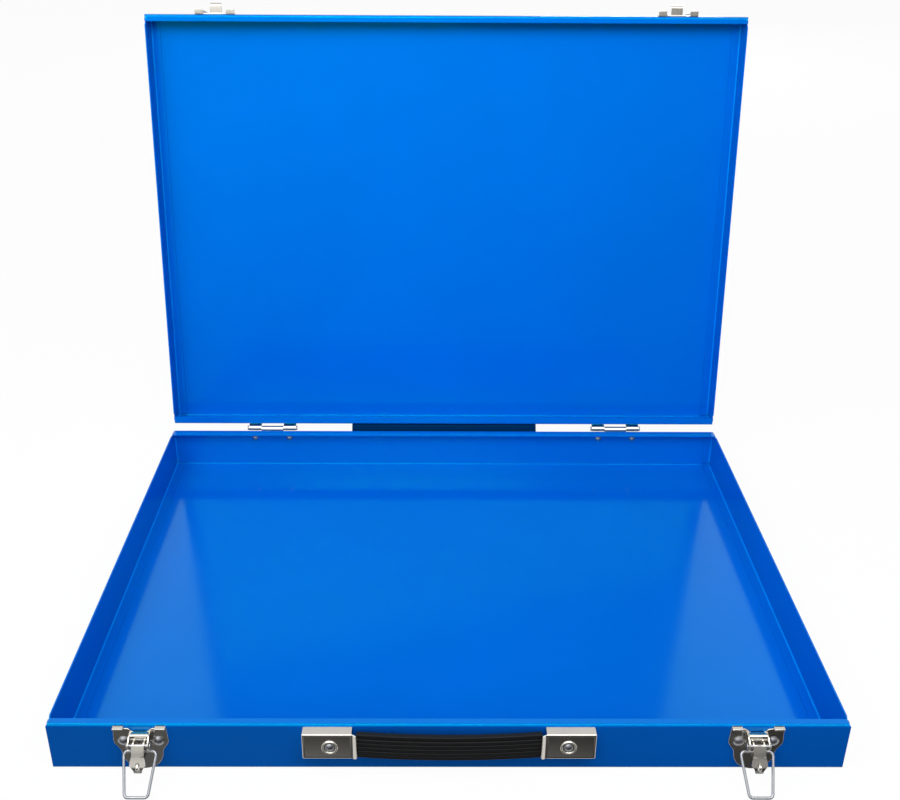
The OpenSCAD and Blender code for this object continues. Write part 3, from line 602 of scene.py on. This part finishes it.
def zinc():
    return finish("zinc plate", colours().zinc, 1.0, (90.0, 0.28, 0.40),
                  (skin_texture(), {"Scale": 2600.0, "Fine": 0.5}), 0.006 * MM)


def plastic():
    return finish("ribbed plastic", colours().plastic, 0.0, (40.0, 0.42, 0.55),
                  (skin_texture(), {"Scale": 3200.0, "Fine": 0.6}), 0.010 * MM, **{"Specular IOR Level": 0.2})


# ---------------- pieces


PAINTED = {"base_pan": "base", "base_left_end": "base", "base_right_end": "base", "lid_stop": "base",
           "lid_pan": "lid", "lid_left_end": "lid", "lid_right_end": "lid"}


class CASE_OT_trays(bpy.types.Operator):
    """Powder coats the trays and their end panels, gives the lid stop a painted shade, and rounds their cut
    edges
    """

    bl_idname = "tool_case.trays"
    bl_label = "Paint Trays"

    def execute(self, context):
        thin_face = 0.6 * MM
        for name, body in PAINTED.items():
            metal = bmesh.new()
            metal.from_mesh(frame["nodes"][name].data)
            weld(metal, 2e-6)
            bmesh.ops.dissolve_limit(metal, angle_limit=math.radians(0.5), verts=metal.verts[:],
                                     edges=metal.edges[:])
            face_outwards(metal)
            soften(metal, context.scene.case_sizes.sheet_round, sharp=0.7)
            # Painted highlight: marks the narrow faces along the end panels' folds and edges for the paler
            # colour.
            if name.endswith("_end"):
                painted_highlight = metal.faces.layers.float.new("painted_fold_highlight")
                for face in metal.faces:
                    face[painted_highlight] = face.calc_area() / max(e.calc_length() for e in face.edges) < thin_face
            # The lid stop takes the painted shade, the rest the powder coat.
            coating = stop_painted_shade() if name == "lid_stop" else paint()
            finish_piece(metal, "painted_" + name, coating, body, [name])
        return {"FINISHED"}


class CASE_OT_hinges(bpy.types.Operator):
    """Makes the curled hinge leaves, their pins and their rivets"""

    bl_idname = "tool_case.hinges"
    bl_label = "Hinges"

    def execute(self, context):
        sizes = context.scene.case_sizes
        barrel, pin, leaf = 2.4 * MM, 1.3 * MM, 1.0 * MM
        half, knuckle, gap = (LEAF_HIGH.x - LEAF_LOW.x) / 2, 8.7 * MM, 0.3 * MM
        base_drop, lid_drop, crank_round, curl = 16.0 * MM, 15.5 * MM, 1.2 * MM, -286
        shank, rivet_head, spread, base_row, lid_row = 1.5 * MM, 2.4 * MM, 13.9 * MM, -7.0 * MM, 9.4 * MM
        out = LID_AXIS.y - BACK
        crank = out - barrel

        def curled_leaf(drop, slotted):
            """Leaf whose middle, or whose sides when slotted, curl round the pin."""
            line = fold_path((-out, -drop), 90, [
                (drop - barrel - crank - 0.4 * MM,), (crank_round, -45), (crank * 0.55,), (crank_round, 45),
                (barrel * 0.35,), (barrel, curl)])
            foot = -marks_along(line)[-1]
            step = -(drop - barrel - crank * 0.6) + 1 * MM
            corners = [(half, 0, 1.5 * MM)]
            if slotted:
                inner = knuckle + gap
                corners += [(half, foot, 0), (inner, foot, 0), (inner, step, 0.4 * MM)]
            else:
                corners += [(half, step, 0.6 * MM), (knuckle, step, 0.4 * MM), (knuckle, foot, 0)]
            return lay_along(draw_blank(both_sides(corners)), line, -leaf, sizes.edge_round * 0.8)

        for name, side in SIDES.items():
            centre = (side * HINGE_X, LID_AXIS.y, LID_AXIS.z)
            base_at = Matrix.Translation(centre)
            flip = OPEN_LID @ base_at @ Matrix.Scale(-1, 4, (0, 0, 1))
            finish_piece(curled_leaf(base_drop, False), name + "_base_leaf", nickel(), "base",
                         [name + "_hinge_base_leaf"], base_at)
            finish_piece(curled_leaf(lid_drop, True), name + "_lid_leaf", nickel(), "lid",
                         [name + "_hinge_lid_leaf"], flip)
            rod = headed_pin(pin, pin + 0.5 * MM, half + 0.2 * MM, 1.0 * MM, 0.3 * MM, centre)
            finish_piece(rod, name + "_hinge_rod", zinc(), "base", [name + "_hinge_pin"])
        profile = rivet_profile(shank, SHEET + leaf, rivet_head, sizes.dome_height)
        low = turn_all(profile, four_places(HINGE_X, spread, BACK - SHEET, LID_AXIS.z + base_row))
        finish_piece(low, "base_hinge_rivets", zinc(), "base", ["hinge_base_rivets"])
        high = turn_all(profile, four_places(HINGE_X, spread, BACK - SHEET, LID_AXIS.z + lid_row))
        finish_piece(high, "lid_hinge_rivets", zinc(), "lid", ["hinge_lid_rivets"], OPEN_LID)
        return {"FINISHED"}


class CASE_OT_latch_plates(bpy.types.Operator):
    """Makes the latch plates with their ears, cheeks, bridge and lock staple"""

    bl_idname = "tool_case.latch_plates"
    bl_label = "Latch Plates"

    def execute(self, context):
        sizes = context.scene.case_sizes
        t, edge, half = sizes.plate_thickness, sizes.edge_round, sizes.plate_width / 2
        top, low, lobe = -0.3 * MM, -31 * MM, 11.2 * MM
        turn = lobe * math.tan(math.radians(22.5))
        outline = in_mm((4.3, -4.0, 0.7), (5.8, -2.0, 1.0)) + [
            (EAR_IN, -1.7 * MM, 0.3 * MM), (EAR_IN, top, 0.3 * MM), (half - EAR_INSET, top, 0.4 * MM),
            (half, -11.9 * MM, 1.8 * MM), (lobe + 0.1 * MM, -17.6 * MM, 2.2 * MM),
            (lobe, low + lobe - turn, 4.6 * MM), (turn, low, 4.6 * MM)]
        cheek, shave, overlap = 4.85 * MM, 0.1 * MM, 0.2 * MM
        cheek_corners = [*in_mm((0.0, -4.3, 0), (-3.6, -4.3, 1.0)),
                         *near_pin(PIN, (-1.9, 2.2, 1.4), (-2.5, -0.8, 1.4), (-0.4, -2.6, 1.2)),
                         *in_mm((0.0, -12.7, 0))]
        bridge_corners = in_mm((0.0, -5.0, 0), (0.0, -4.0, 0), (-4.0, -4.0, 0.9), (-4.0, -7.5, 0.2),
                               (-3.0, -7.5, 0.2), (-3.0, -5.0, 0.3))
        staple_low, staple_high = PIN.z - 11.1 * MM, PIN.z - 7.3 * MM
        nose, nose_round, staple_half = -14.0 * MM, 1.85 * MM, 0.65 * MM
        pin, pin_head, head_height, play = 1.1 * MM, 1.6 * MM, 0.8 * MM, 0.03 * MM
        staple_corners = [(0.0, staple_low, 0), (0.0, staple_high, 0), (nose, staple_high, nose_round),
                          (nose, staple_low, nose_round)]
        for name, side in SIDES.items():
            plate = soften(thicken(draw_half(outline), -t, 0), edge)
            ears = folded_ears(top - t, top, 3.0 * MM, half, edge)
            cheeks = mirrored(side_plate(cheek_corners, cheek + shave, cheek + t - shave, edge * 0.9))
            bridge = side_plate(bridge_corners, -cheek - overlap, cheek + overlap, edge)
            staple = side_plate(staple_corners, -staple_half, staple_half, edge * 0.8)
            whole = merge(plate, ears, cheeks, bridge, staple)
            finish_piece(whole, name + "_stamped_plate", nickel(), "base",
                         [name + "_latch_plate"], at_latch(side))
            rod = headed_pin(pin, pin_head, cheek + t + play, head_height, 0.35 * MM,
                             (side * LATCH_X, FRONT + PIN.y, RIM + PIN.z))
            finish_piece(rod, name + "_lever_rod", zinc(), "base", [name + "_lever_pin"])
        finish_piece(plate_rivets(sizes, RIM - 10.5 * MM), "latch_domes", zinc(), "base", ["latch_rivets"])
        return {"FINISHED"}


LEVER_FOLDS = [(1.5 * MM, 22), (26 * MM, 11), (16 * MM, -10), (3.4 * MM,), (3.5 * MM, 29), (2.6 * MM,)]
LEVER_HEADING = 218
LEVER_SLOT = (-12.4 * MM, 1.15 * MM, 1.5 * MM)


class CASE_OT_levers(bpy.types.Operator):
    """Makes the folded latch levers with their curled tops, lugs and slots"""

    bl_idname = "tool_case.levers"
    bl_label = "Levers"

    def execute(self, context):
        sizes = context.scene.case_sizes
        t, edge = sizes.plate_thickness, sizes.edge_round
        line = fold_path((PIN.y - 1.32 * MM, PIN.z + 1.88 * MM), LEVER_HEADING, LEVER_FOLDS)
        neck, spoon, tip = 3.4 * MM, 4.4 * MM, 2.3 * MM
        outline = [(neck, 0, 0.3 * MM), (neck, -6.3 * MM, 2.0 * MM), (spoon, -9.4 * MM, 1.8 * MM),
                   (spoon, -11.2 * MM, 2.0 * MM), (tip, -14.0 * MM, 1.6 * MM),
                   (tip, -marks_along(line)[-1], 0.8 * MM)]
        front_edge = [(p.x + 0.95 * MM, p.y, 0) for p in line if -7.6 * MM < p.y - PIN.z < -0.3 * MM]
        lug_corners = [*near_pin(PIN, (0, 1.6, 0), (2.1, 2.1, 1.6)),
                       *near_pin(BAIL_PIN, (1.8, 1.0, 1.5), (1.8, -1.8, 1.4), (-1.6, -2.0, 1.2)),
                       *reversed(front_edge), *near_pin(PIN, (-1.35, 0, 0))]
        for name, side in SIDES.items():
            face = lay_along(draw_half(outline, LEVER_SLOT), line, t, edge, (neck, 0.7 * MM, 5.0 * MM))
            whole = merge(face, mirrored(side_plate(lug_corners, neck - t, neck, edge * 0.7)))
            finish_piece(whole, name + "_folded_lever", nickel(), name + "_lever",
                         [name + "_lever"], at_latch(side))
        return {"FINISHED"}


class CASE_OT_bails(bpy.types.Operator):
    """Bends the wire bails"""

    bl_idname = "tool_case.bails"
    bl_label = "Bails"

    def execute(self, context):
        sizes = context.scene.case_sizes
        eye, foot = 9 * MM, 6.3 * MM
        for side_name, side in SIDES.items():
            low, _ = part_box(side_name + "_bail")
            drop = (RIM + BAIL_PIN.z) - (low.z + WIRE)
            reach = (FRONT + BAIL_PIN.y) - (low.y + WIRE)
            span = math.hypot(drop, reach)
            lean = math.atan2(reach, drop)
            wire = bend_wire([(-eye, 0), (eye, 0), (foot, span), (-foot, span)], sizes.wire_radius,
                             sizes.bail_bend)
            hang = (at_latch(side) @ Matrix.Translation((0, BAIL_PIN.y, BAIL_PIN.z))
                    @ Matrix.Rotation(math.radians(270) - lean, 4, "X"))
            bail = side_name + "_bail"
            finish_piece(wire, side_name + "_wire_bail", zinc(), bail, [bail], hang)
        return {"FINISHED"}


class CASE_OT_keepers(bpy.types.Operator):
    """Makes the keepers on the lid with their ears, hooks and rivets"""

    bl_idname = "tool_case.keepers"
    bl_label = "Keepers"

    def execute(self, context):
        sizes = context.scene.case_sizes
        t, edge, half = sizes.plate_thickness, sizes.edge_round, sizes.plate_width / 2
        rim = RIM + RIM_GAP
        foot, rise, out, inside, hook_half = 0.3 * MM, 8.45 * MM, 6.0 * MM, 1.1 * MM, 4.2 * MM
        outline = [(9.6 * MM, 14.4 * MM, 2.4 * MM), (half - EAR_INSET, 8.6 * MM, 2.4 * MM),
                   (half - EAR_INSET, foot, 0.4 * MM), (EAR_IN, foot, 0.3 * MM),
                   (EAR_IN, foot + 1.0 * MM, 0.4 * MM), (6.5 * MM, 2.0 * MM, 0.8 * MM)]
        hook_line = fold_path((0.1 * MM, rise - inside - t), 180,
                              [(out + 0.1 * MM,), (inside + t, -90), (1.2 * MM,)])
        hook_corners = both_sides([(hook_half, 0, 0), (hook_half, -marks_along(hook_line)[-1], 0.8 * MM)])
        for name, side in SIDES.items():
            plate = soften(thicken(draw_half(outline), -t, 0), edge)
            ears = folded_ears(foot, foot + 1.0 * MM, 4.0 * MM, half, edge)
            hook = lay_along(draw_blank(hook_corners), hook_line, -t, edge)
            place = OPEN_LID @ Matrix.Translation((side * LATCH_X, FRONT, rim))
            finish_piece(merge(plate, ears, hook), name + "_stamped_keeper", nickel(), "lid",
                         [name + "_keeper"], place)
        rivets = plate_rivets(sizes, rim + 8.2 * MM)
        finish_piece(rivets, "keeper_domes", zinc(), "lid", ["keeper_rivets"], OPEN_LID)
        return {"FINISHED"}


CAP_INNER = 53.0 * MM
CAP_DEEP = 6.0 * MM
CAP_WALL = 0.7 * MM
CAP_RIVET_X = CAP_INNER + 12 * MM
CAP_RING = in_mm((3.35, -0.3), (3.35, 0.55), (3.75, 0.95), (4.25, 0.95), (4.6, 0.5), (4.6, -0.3),
                 (3.35, -0.3))
WASHER = in_mm((1.53, 0), (5, 0), (5, 1.0), (1.53, 1.0), (1.53, 0))
WASHER_HIGH = 1.0 * MM
TURNED_AXES = Matrix(((0, 1, 0, 0), (0, 0, 1, 0), (1, 0, 0, 0), (0, 0, 0, 1)))


class CASE_OT_handle_caps(bpy.types.Operator):
    """Makes the pressed handle caps, their lips, rings, rivets and washers"""

    bl_idname = "tool_case.handle_caps"
    bl_label = "Handle Caps"

    def execute(self, context):
        sizes = context.scene.case_sizes
        outer, tall = CAP_HIGH.x, CAP_HIGH.z - CAP_LOW.z
        corner_round, apex_shift, borders = 0.75 * MM, 1.2 * MM, in_mm((0.55, 0.0), (0.3, -0.16))
        high = tall / 2 - 0.15 * MM
        lip_line = fold_path((CAP_INNER + CAP_WALL, -CAP_DEEP + CAP_WALL), 180,
                             [(CAP_WALL + 0.2 * MM,), (1.8 * MM, 32), (2.0 * MM,)])
        lip_corners = both_sides([(high, 0, 0), (high, -marks_along(lip_line)[-1], 1.9 * MM)])
        for name, side in SIDES.items():
            shell = bmesh.new()
            size = Matrix.Diagonal((outer - CAP_INNER, CAP_DEEP, tall, 1))
            middle = Matrix.Translation(((CAP_INNER + outer) / 2, -CAP_DEEP / 2, 0))
            bmesh.ops.create_cube(shell, size=1, matrix=middle @ size)
            gone = [f for f in shell.faces if f.normal.y > 0.5 or f.normal.x < -0.5]
            bmesh.ops.delete(shell, geom=gone, context="FACES_ONLY")
            round_off(shell, [e for e in shell.edges if len(e.link_faces) == 2], corner_round, 4)
            face = max((f for f in shell.faces if f.normal.y < -0.99), key=lambda f: f.calc_area())
            for border, sink in borders:
                bmesh.ops.inset_region(shell, faces=[face], thickness=border, depth=sink,
                                       use_boundary=True, use_even_offset=True)
            apex = bmesh.ops.poke(shell, faces=[face])["verts"][0]
            apex.co = (CAP_RIVET_X + apex_shift, -CAP_DEEP - sizes.pyramid_rise + 0.05 * MM, 0)
            bmesh.ops.solidify(shell, geom=shell.faces[:], thickness=CAP_WALL)
            face_outwards(shell)
            lip = lay_along(draw_blank(lip_corners), lip_line, CAP_WALL, 0.2 * MM)
            bmesh.ops.transform(lip, verts=lip.verts[:], matrix=TURNED_AXES)
            face_outwards(lip)
            ring = turn_profile(rounded_profile(CAP_RING, 0.25 * MM), (CAP_RIVET_X, -CAP_DEEP, 0))
            place = Matrix.Translation((0, FRONT, GRIP_Z)) @ Matrix.Scale(side, 4, (1, 0, 0))
            finish_piece(merge(shell, lip, ring), name + "_pressed_cap", nickel(), "base",
                         [name + "_handle_cap"], place)
        profile = rivet_profile(1.5 * MM, CAP_DEEP + SHEET + WASHER_HIGH, 3.0 * MM, sizes.dome_height)
        rivets = turn_all(profile, [(s * CAP_RIVET_X, FRONT - CAP_DEEP, GRIP_Z) for s in (-1, 1)])
        finish_piece(rivets, "handle_domes", zinc(), "base", ["handle_rivets"])
        washers = turn_all(rounded_profile(WASHER, 0.2 * MM),
                           [(s * CAP_RIVET_X, FRONT + SHEET + WASHER_HIGH, GRIP_Z) for s in (-1, 1)])
        finish_piece(washers, "backing_washers", zinc(), "base", ["handle_washers"])
        return {"FINISHED"}


class CASE_OT_handle_grip(bpy.types.Operator):
    """Sweeps the ribbed grip along its bow and makes its spring steel strap"""

    bl_idname = "tool_case.handle_grip"
    bl_label = "Handle Grip"

    def execute(self, context):
        sizes = context.scene.case_sizes
        out, thick, tall = 8.0 * MM, 3.4 * MM, GRIP_HIGH.z - GRIP_LOW.z
        middle, end = GRIP_HIGH.x, END_HIGH.x
        sag = 2.3 * MM
        bow = (end ** 2 + sag ** 2) / (2 * sag)
        count, rib = sizes.rib_count, sizes.rib_height
        pitch = tall / count
        rib_share = 0.74
        wide = rib_share * pitch / 2
        groove, rim = (-out + rib, 0.12 * MM), (-out + 1.6 * MM, 0.4 * MM)
        corners = [(-out + thick, -tall / 2 + 0.2 * MM, 0.5 * MM)]
        for i in range(count):
            first, last = i == 0, i == count - 1
            z = (i + 0.5) * pitch - tall / 2
            low = -tall / 2 + 0.05 * MM if first else z - wide
            high = tall / 2 - 0.05 * MM if last else z + wide
            face, soft = (-out + 0.25 * MM, 0.8 * MM) if first or last else (-out, 0.55 * MM)
            below, below_soft = rim if first else groove
            above, above_soft = rim if last else groove
            corners += [(below, low, below_soft), (face, low, soft), (face, high, soft),
                        (above, high, above_soft)]
        corners += [(-out + thick, tall / 2 - 0.2 * MM, 0.5 * MM)]

        def sweep(start, stop, steps):
            section = draw_blank(corners)
            a0, a1 = math.asin(start / bow), math.asin(stop / bow)
            bmesh.ops.rotate(section, verts=section.verts[:], cent=(0, 0, 0), matrix=QUARTER_TURN)
            centre = (0, bow - out, 0)
            bmesh.ops.rotate(section, verts=section.verts[:], cent=centre, matrix=Matrix.Rotation(a0, 3, "Z"))
            bmesh.ops.spin(section, geom=everything(section), cent=centre, axis=(0, 0, 1), angle=a1 - a0,
                           steps=steps, use_duplicate=False)
            weld(section, 1e-7)
            return face_outwards(section)

        place = Matrix.Translation((0, FRONT, GRIP_Z))
        finish_piece(sweep(-middle, middle, 24), "ribbed_grip", plastic(), "grip", ["handle_grip"], place)
        coat("strap_middle", zinc())
        strap_half, strap_out, strap_cuts = 5.5 * MM, out - (thick + rib) / 2, 23
        near, far = middle + 0.15 * MM, 74.0 * MM
        for name, side in SIDES.items():
            flip = place @ Matrix.Scale(side, 4, (1, 0, 0))
            piece = finish_piece(sweep(middle, end, 16), name + "_grip_end", plastic(), None,
                                 ["grip_" + name + "_end"], flip)
            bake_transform(piece)
            blank = draw_blank([(near, -strap_half, 0), (far, -strap_half, 0.6 * MM),
                                (far, strap_half, 0.6 * MM), (near, strap_half, 0)])
            for i in range(1, strap_cuts + 1):
                cut_across(blank, (near + (end - near) * i / strap_cuts, 0, 0), (1, 0, 0))
            strap = thicken(blank, -0.4 * MM, 0.4 * MM)
            for v in strap.verts:
                x = min(v.co.x, end)
                v.co.y += -strap_out + bow - math.sqrt(bow * bow - x * x)
            piece = finish_piece(strap, name + "_strap_end", zinc(), None,
                                 ["strap_" + name + "_end"], flip)
            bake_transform(piece)
        return {"FINISHED"}


def coat(name, material):
    """Gives a CAD node a finish of its own."""
    shown = frame["nodes"][name]
    shown.data.materials.clear()
    shown.data.materials.append(material)


# ---------------- studio


# name, place, what it points at, width, height, watts, spread in degrees
LAMPS = (
    ("key softbox", (-0.11, -0.32, 0.68), (0, 0.12, 0.2), 1.5, 0.34, 6.6, 180),
    ("front fill", (-0.9, -2.2, 1.4), (0, 0, 0.1), 2.4, 1.5, 14.0, 180),
    ("lid fill", (-0.05, -0.9, 0.86), (-0.01, 0.2, 0.25), 0.5, 0.25, 0.16, 34),
    ("back fill", (0.5, 2.3, 1.0), (0, 0.2, 0.15), 0.5, 0.5, 15.0, 180),
)
# fitted to the photograph
CAMERA_PLACE = (-0.01005, -0.60097, 0.47129)
CAMERA_DEGREES = (64.9364, -0.3190, -0.2501)
CAMERA_LENS = {"sensor_width": 36.0, "lens": 42.963, "shift_x": 0.01245, "shift_y": -0.06908,
               "clip_start": 0.01}
FLOOR_HALF = 12.0
FLOOR_DROP = 0.0001
FLOOR_GLOW = 0.95
WALL_GLOW = 0.85
EVEN_LIGHT = 0.30


class CASE_OT_stage(bpy.types.Operator):
    """Sets up the floor, lights, world and camera"""

    bl_idname = "tool_case.stage"
    bl_label = "Stage"

    def execute(self, context):
        scene = context.scene
        scene.view_settings.view_transform = "Standard"
        ground = bmesh.new()
        bmesh.ops.create_grid(ground, x_segments=1, y_segments=1, size=FLOOR_HALF)
        mesh = bpy.data.meshes.new("floor")
        ground.to_mesh(mesh)
        ground.free()
        floor = put("floor", mesh, (0, 0, -FLOOR_DROP))
        mesh.materials.append(floor_finish())
        world_light()
        for name, place, aim, wide, tall, watts, spread in LAMPS:
            lamp = bpy.data.lights.new(name, "AREA")
            lamp.shape = "RECTANGLE"
            lamp.size = wide
            lamp.size_y = tall
            lamp.energy = watts
            lamp.spread = math.radians(spread)
            put(name, lamp, place, (Vector(aim) - Vector(place)).to_track_quat("-Z", "Y").to_euler())
        lens = bpy.data.cameras.new("camera")
        for key, value in CAMERA_LENS.items():
            setattr(lens, key, value)
        scene.camera = put("camera", lens, CAMERA_PLACE, [math.radians(a) for a in CAMERA_DEGREES])
        return {"FINISHED"}


def fade(tree, place, source, low, high, at_low, at_high, kind="SMOOTHSTEP"):
    """Value that goes from at_low to at_high as the source goes from low to high."""
    made = node(tree, "ShaderNodeMapRange", place, interpolation_type=kind,
                **{"From Min": low, "From Max": high, "To Min": at_low, "To Max": at_high})
    tree.links.new(source, made.inputs["Value"])
    return made.outputs["Result"]


def join(tree, place, kind, *values):
    """Math node on sockets and numbers."""
    made = node(tree, "ShaderNodeMath", place, operation=kind)
    for socket, value in zip(made.inputs, values):
        if isinstance(value, (int, float)):
            socket.default_value = value
        else:
            tree.links.new(value, socket)
    return made.outputs[0]


def floor_finish():
    """White to the camera with a faint shadow, and open to what mirrors it.

    To the light it is dull in front of the case, and pale beside and behind it, where it lights the walls."""
    material = bpy.data.materials.new("pale floor")
    material.use_nodes = True
    tree = material.node_tree
    tree.nodes.clear()
    out = node(tree, "ShaderNodeOutputMaterial", (900, 0))
    lit = node(tree, "ShaderNodeBsdfDiffuse", (0, 200), Color=(0.9, 0.9, 0.9, 1))
    dull = node(tree, "ShaderNodeBsdfDiffuse", (0, 350))
    spot = node(tree, "ShaderNodeTexCoord", (-600, 350))
    split = node(tree, "ShaderNodeSeparateXYZ", (-400, 350))
    bounce = fade(tree, (-200, 350), split.outputs["Y"], -0.16, 0.1, 0.08, 0.6)
    tree.links.new(bounce, dull.inputs["Color"])
    glow = node(tree, "ShaderNodeEmission", (0, 0), Color=(*colours().floor, 1))
    shown = node(tree, "ShaderNodeMixShader", (250, 100), Fac=FLOOR_GLOW)
    clear = node(tree, "ShaderNodeBsdfTransparent", (0, -200))
    path = node(tree, "ShaderNodeLightPath", (0, 600))
    by_camera = node(tree, "ShaderNodeMixShader", (500, 100))
    by_gloss = node(tree, "ShaderNodeMixShader", (700, 0))
    link(tree, (spot, "Object", split, 0), (lit, 0, shown, 1), (glow, 0, shown, 2),
         (path, "Is Camera Ray", by_camera, "Fac"), (dull, 0, by_camera, 1), (shown, 0, by_camera, 2),
         (path, "Is Glossy Ray", by_gloss, "Fac"), (by_camera, 0, by_gloss, 1), (clear, 0, by_gloss, 2),
         (by_gloss, 0, out, "Surface"))
    return material


def mirrored_room(tree):
    """What a mirror sees all round: a pale room that is dark in front and low."""
    way = node(tree, "ShaderNodeTexCoord", (-1700, -300))
    split = node(tree, "ShaderNodeSeparateXYZ", (-1500, -300))
    link(tree, (way, "Generated", split, 0))
    x, y, z = split.outputs
    front = fade(tree, (-1300, 100), y, -0.55, -0.25, 1.0, 0.0)
    low = fade(tree, (-1300, -150), z, 0.15, 0.45, 1.0, 0.0)
    near = fade(tree, (-1300, -400), z, -0.95, -0.62, 0.22, 0.03, "LINEAR")
    far = fade(tree, (-1300, -650), z, -0.32, 0.06, 0.045, 0.48, "LINEAR")
    across = fade(tree, (-1300, -900), x, -0.3, 0.3, 1.5, 0.6, "LINEAR")
    dark = join(tree, (-1000, 0), "MULTIPLY", front, low)
    level = join(tree, (-1000, -450), "MAXIMUM", near, far)
    level = join(tree, (-800, -500), "MULTIPLY", level, across)
    less = join(tree, (-600, -450), "SUBTRACT", level, WALL_GLOW)
    return join(tree, (-400, -300), "MULTIPLY_ADD", less, dark, WALL_GLOW)


def world_light():
    """Even light from all round, a room of its own for mirrors, and white to the camera."""
    world = bpy.data.worlds.new("studio")
    bpy.context.scene.world = world
    world.use_nodes = True
    tree = world.node_tree
    tree.nodes.clear()
    out = node(tree, "ShaderNodeOutputWorld", (600, 0))
    path = node(tree, "ShaderNodeLightPath", (-400, 300))
    last = node(tree, "ShaderNodeBackground", (0, 100), Color=(1, 1, 1, 1), Strength=EVEN_LIGHT)
    for i, ray in enumerate(("Is Glossy Ray", "Is Transmission Ray", "Is Camera Ray"), 1):
        light = node(tree, "ShaderNodeBackground", (0, 100 - 150 * i), Color=(1, 1, 1, 1), Strength=1.0)
        if ray == "Is Glossy Ray":
            tree.links.new(mirrored_room(tree), light.inputs["Strength"])
        pick = node(tree, "ShaderNodeMixShader", (150 + 120 * i, 0))
        link(tree, (path, ray, pick, "Fac"), (last, 0, pick, 1), (light, 0, pick, 2))
        last = pick
    link(tree, (last, 0, out, "Surface"))


# ---------------- panel


STEPS = (CASE_OT_trays, CASE_OT_hinges, CASE_OT_latch_plates, CASE_OT_levers, CASE_OT_bails, CASE_OT_keepers,
         CASE_OT_handle_caps, CASE_OT_handle_grip, CASE_OT_stage)


class CASE_PT_panel(bpy.types.Panel):
    """Lists the steps that dress the tool case"""

    bl_idname = "CASE_PT_panel"
    bl_label = "Tool Case"
    bl_space_type = "VIEW_3D"
    bl_region_type = "UI"
    bl_category = "Tool Case"

    def draw(self, context):
        layout = self.layout
        for group in (context.scene.case_sizes, context.scene.case_colours):
            column = layout.column(align=True)
            for key in group.__annotations__:
                column.prop(group, key)
        column = layout.column(align=True)
        for step in STEPS:
            column.operator(step.bl_idname)


CLASSES = (CaseSizes, CaseColours, *STEPS, CASE_PT_panel)


def register():
    for cls in CLASSES:
        bpy.utils.register_class(cls)
    bpy.types.Scene.case_sizes = PointerProperty(type=CaseSizes)
    bpy.types.Scene.case_colours = PointerProperty(type=CaseColours)


def unregister():
    del bpy.types.Scene.case_colours
    del bpy.types.Scene.case_sizes
    for cls in reversed(CLASSES):
        bpy.utils.unregister_class(cls)


def main():
    register()
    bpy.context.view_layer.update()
    bpy.ops.tool_case.trays()
    bpy.ops.tool_case.hinges()
    bpy.ops.tool_case.latch_plates()
    bpy.ops.tool_case.levers()
    bpy.ops.tool_case.bails()
    bpy.ops.tool_case.keepers()
    bpy.ops.tool_case.handle_caps()
    bpy.ops.tool_case.handle_grip()
    bpy.ops.tool_case.stage()


if __name__ == "__main__":
    main()
